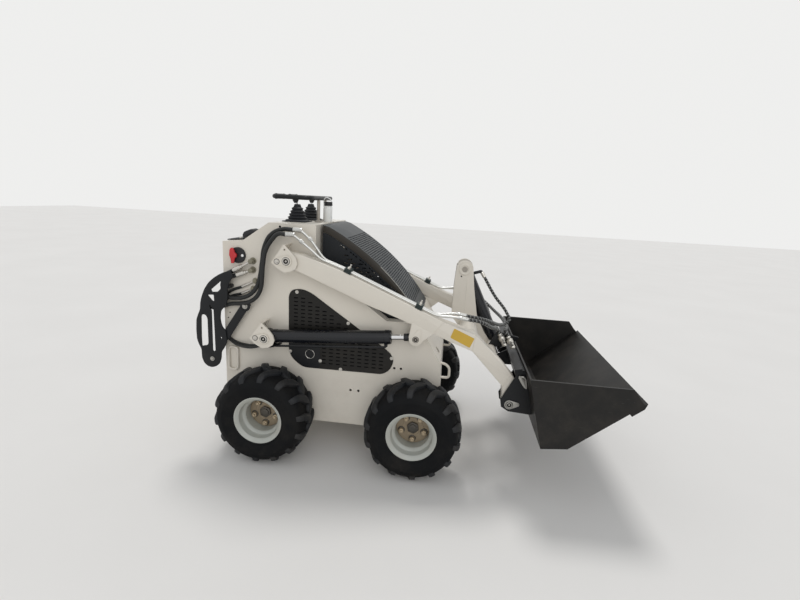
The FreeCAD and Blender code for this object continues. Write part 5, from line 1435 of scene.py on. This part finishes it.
def arms():
    for side, sign in SIDES:
        near, far = sign * 305, sign * 375
        beam = plate(ARM_OUTLINE, near, far, 2.2)
        holes = [disc(17.1, sign * 290, sign * 390, ARM_PIVOT, 48), disc(17.1, sign * 290, sign * 390, COUPLER_PIVOT, 48)]
        cut(beam, joined(holes))
        lobes = []
        for y0, y1 in ((near - sign * 0.0, near + sign * 8), (far - sign * 8, far + sign * 0.3)):
            lobe = plate(LOBE, y0, y1, 1.4)
            lobes.append(lobe)
        settle(joined([beam] + lobes), "boxed_arm_" + side, WHITE_PAINT, "lift_arms",
               ["arm_" + side], 24.0)
        beads = []
        for path in (((39, 735), (28, 662)), ((182, 747), (139, 689)), ((332, 702), (323, 622)),
                     ((505, 530), (474, 466))):
            beads.append(hose([(x, far + sign * 0.2, z) for x, z in path], 1.3, 2, False, False, 12))
        settle(joined(beads), "arm_weld_beads_" + side, WHITE_PAINT, "lift_arms")
        bolts = []
        lock = plate(teardrop(ROD_PIVOT, 22, (74, 694), 10), far + sign * 0.3, far + sign * 4.3, 1.2)
        bolts += pin_end(ROD_PIVOT, far + sign * 4.4, sign, 14)
        settle(lock, "rod_pin_lock_" + side, WHITE_PAINT, "lift_arms")
        # A dark disc in the pin's middle is painted shade for its hollow.
        settle(disc(15.5, far + sign * 4, far + sign * 4.8, ROD_PIVOT, 40), "rod_pin_hollow_shade_" + side, PAINTED_SHADE,
               "lift_arms")
        settle(joined(bolts), "rod_pin_end_" + side, POST_STEEL, "lift_arms")
    blank = plate(rounded([(233, 724), (328, 684), (309, 638), (218, 679)], 5, 4), -375.2, -376.0)
    settle(blank, "blank_plate", OCHRE_PLATE, "lift_arms")


def between(start, end, distance):
    run = math.hypot(end[0] - start[0], end[1] - start[1])
    return (start[0] + (end[0] - start[0]) * distance / run, start[1] + (end[1] - start[1]) * distance / run)


def cylinder_details():
    for side, sign in SIDES:
        y = sign * 340

        def spot(along):
            x, z = between(BARREL_PIVOT, ROD_PIVOT, along)
            return Vector((x, y, z))

        head = turned_along([(13.6, 0), (33.4, 0), (34.4, 1), (34.4, 22), (33, 24), (33, 27), (30, 29), (20, 29),
                             (17, 31), (17, 33), (13.6, 33)], spot(579), spot(700), 56)
        base = turned_along([(31, 0), (33.6, 0.6), (33.6, 15), (32.2, 17)] + [(31, 17)], spot(34), spot(700), 56)
        lines = []
        for offset, end in ((1, 585.0), (-1, 55.0)):
            line_y = y + sign * offset * 13
            ux, uz = [(b - a) / 728.3 for a, b in zip(BARREL_PIVOT, ROD_PIVOT)]

            def under(along, drop):
                x, z = between(BARREL_PIVOT, ROD_PIVOT, along)
                return Vector((x + uz * drop, line_y, z - ux * drop))

            lines.append(bent_bar((under(2, 46), under(end, 46), under(end, 28)), 5, 14))
            lines.append(crimped(under(2, 46), under(60, 46), 20, 8.5))
            lines.append(six_sided(under(22, 46), under(60, 46), 9, 8.6))
            lines.append(turned_along([(0, 0), (9.5, 0), (9.5, 7), (7.5, 8), (7.5, 14), (0, 14)], under(end, 30),
                                      under(end, 60), 6))
        settle(joined([head, base]), "lift_cylinder_heads_" + side, CYLINDER_PAINT,
               "lift_cylinder_barrels", (), 30.0)
        settle(joined(lines), "lift_cylinder_lines_" + side, BLACK_PAINT, "lift_cylinder_barrels", (),
               30.0)
        rod_end = turned_along([(13.2, 0), (17, 0), (18, 1), (18, 22), (24, 30), (24, 40), (13.2, 40)],
                               spot(728 - 58), spot(728), 40)
        settle(rod_end, "lift_rod_ends_" + side, CYLINDER_PAINT, "lift_cylinder_rods", (), 30.0)

    def tilt_spot(along):
        x, z = between(TILT_PIN, TILT_ROD_PIN, along)
        return Vector((x, 0, z))

    head = turned_along([(16.6, 0), (35.4, 0), (36.4, 1), (36.4, 24), (35, 26), (35, 29), (31, 31), (22, 31), (19, 33),
                         (16.6, 33)], tilt_spot(408), tilt_spot(500), 56)
    settle(head, "tilt_cylinder_head", CYLINDER_PAINT, "tilt_cylinder_barrel", (), 30.0)
    fittings = []
    before, end = Vector((432, -36, 824)), Vector((374, -26, 913))
    fittings.append(crimped(end + (end - before).normalized() * 0.8, end + (end - before), 30, 9.8))
    fittings.append(turned_along([(0, 0), (12, 0), (12, 12), (9, 14), (0, 14)], (442, 36, 602), (442, 60, 602), 6))
    settle(joined(fittings), "tilt_cylinder_fittings", ZINC, "tilt_cylinder_barrel", (), 30.0)


def tie_downs():
    for side, sign in SIDES:
        ring = bent_bar(((-890, sign * 301.9, 510), (-843, sign * 301.9, 510), (-843, sign * 301.9, 390),
                         (-890, sign * 301.9, 390)), 6, 20, 6, True)
        hoop = bent_bar(((180, sign * 260, 511), (205, sign * 260, 508), (228, sign * 260, 489), (228, sign * 260, 437),
                         (184, sign * 260, 437)), 6.5, 16, 6)
        settle(joined([ring, hoop]), "tie_down_rods_" + side, WHITE_PAINT, "chassis",
               ["tie_down_loops"], 40.0)


rear_guards()
pins()
tilt_post()
arms()
cylinder_details()
tie_downs()
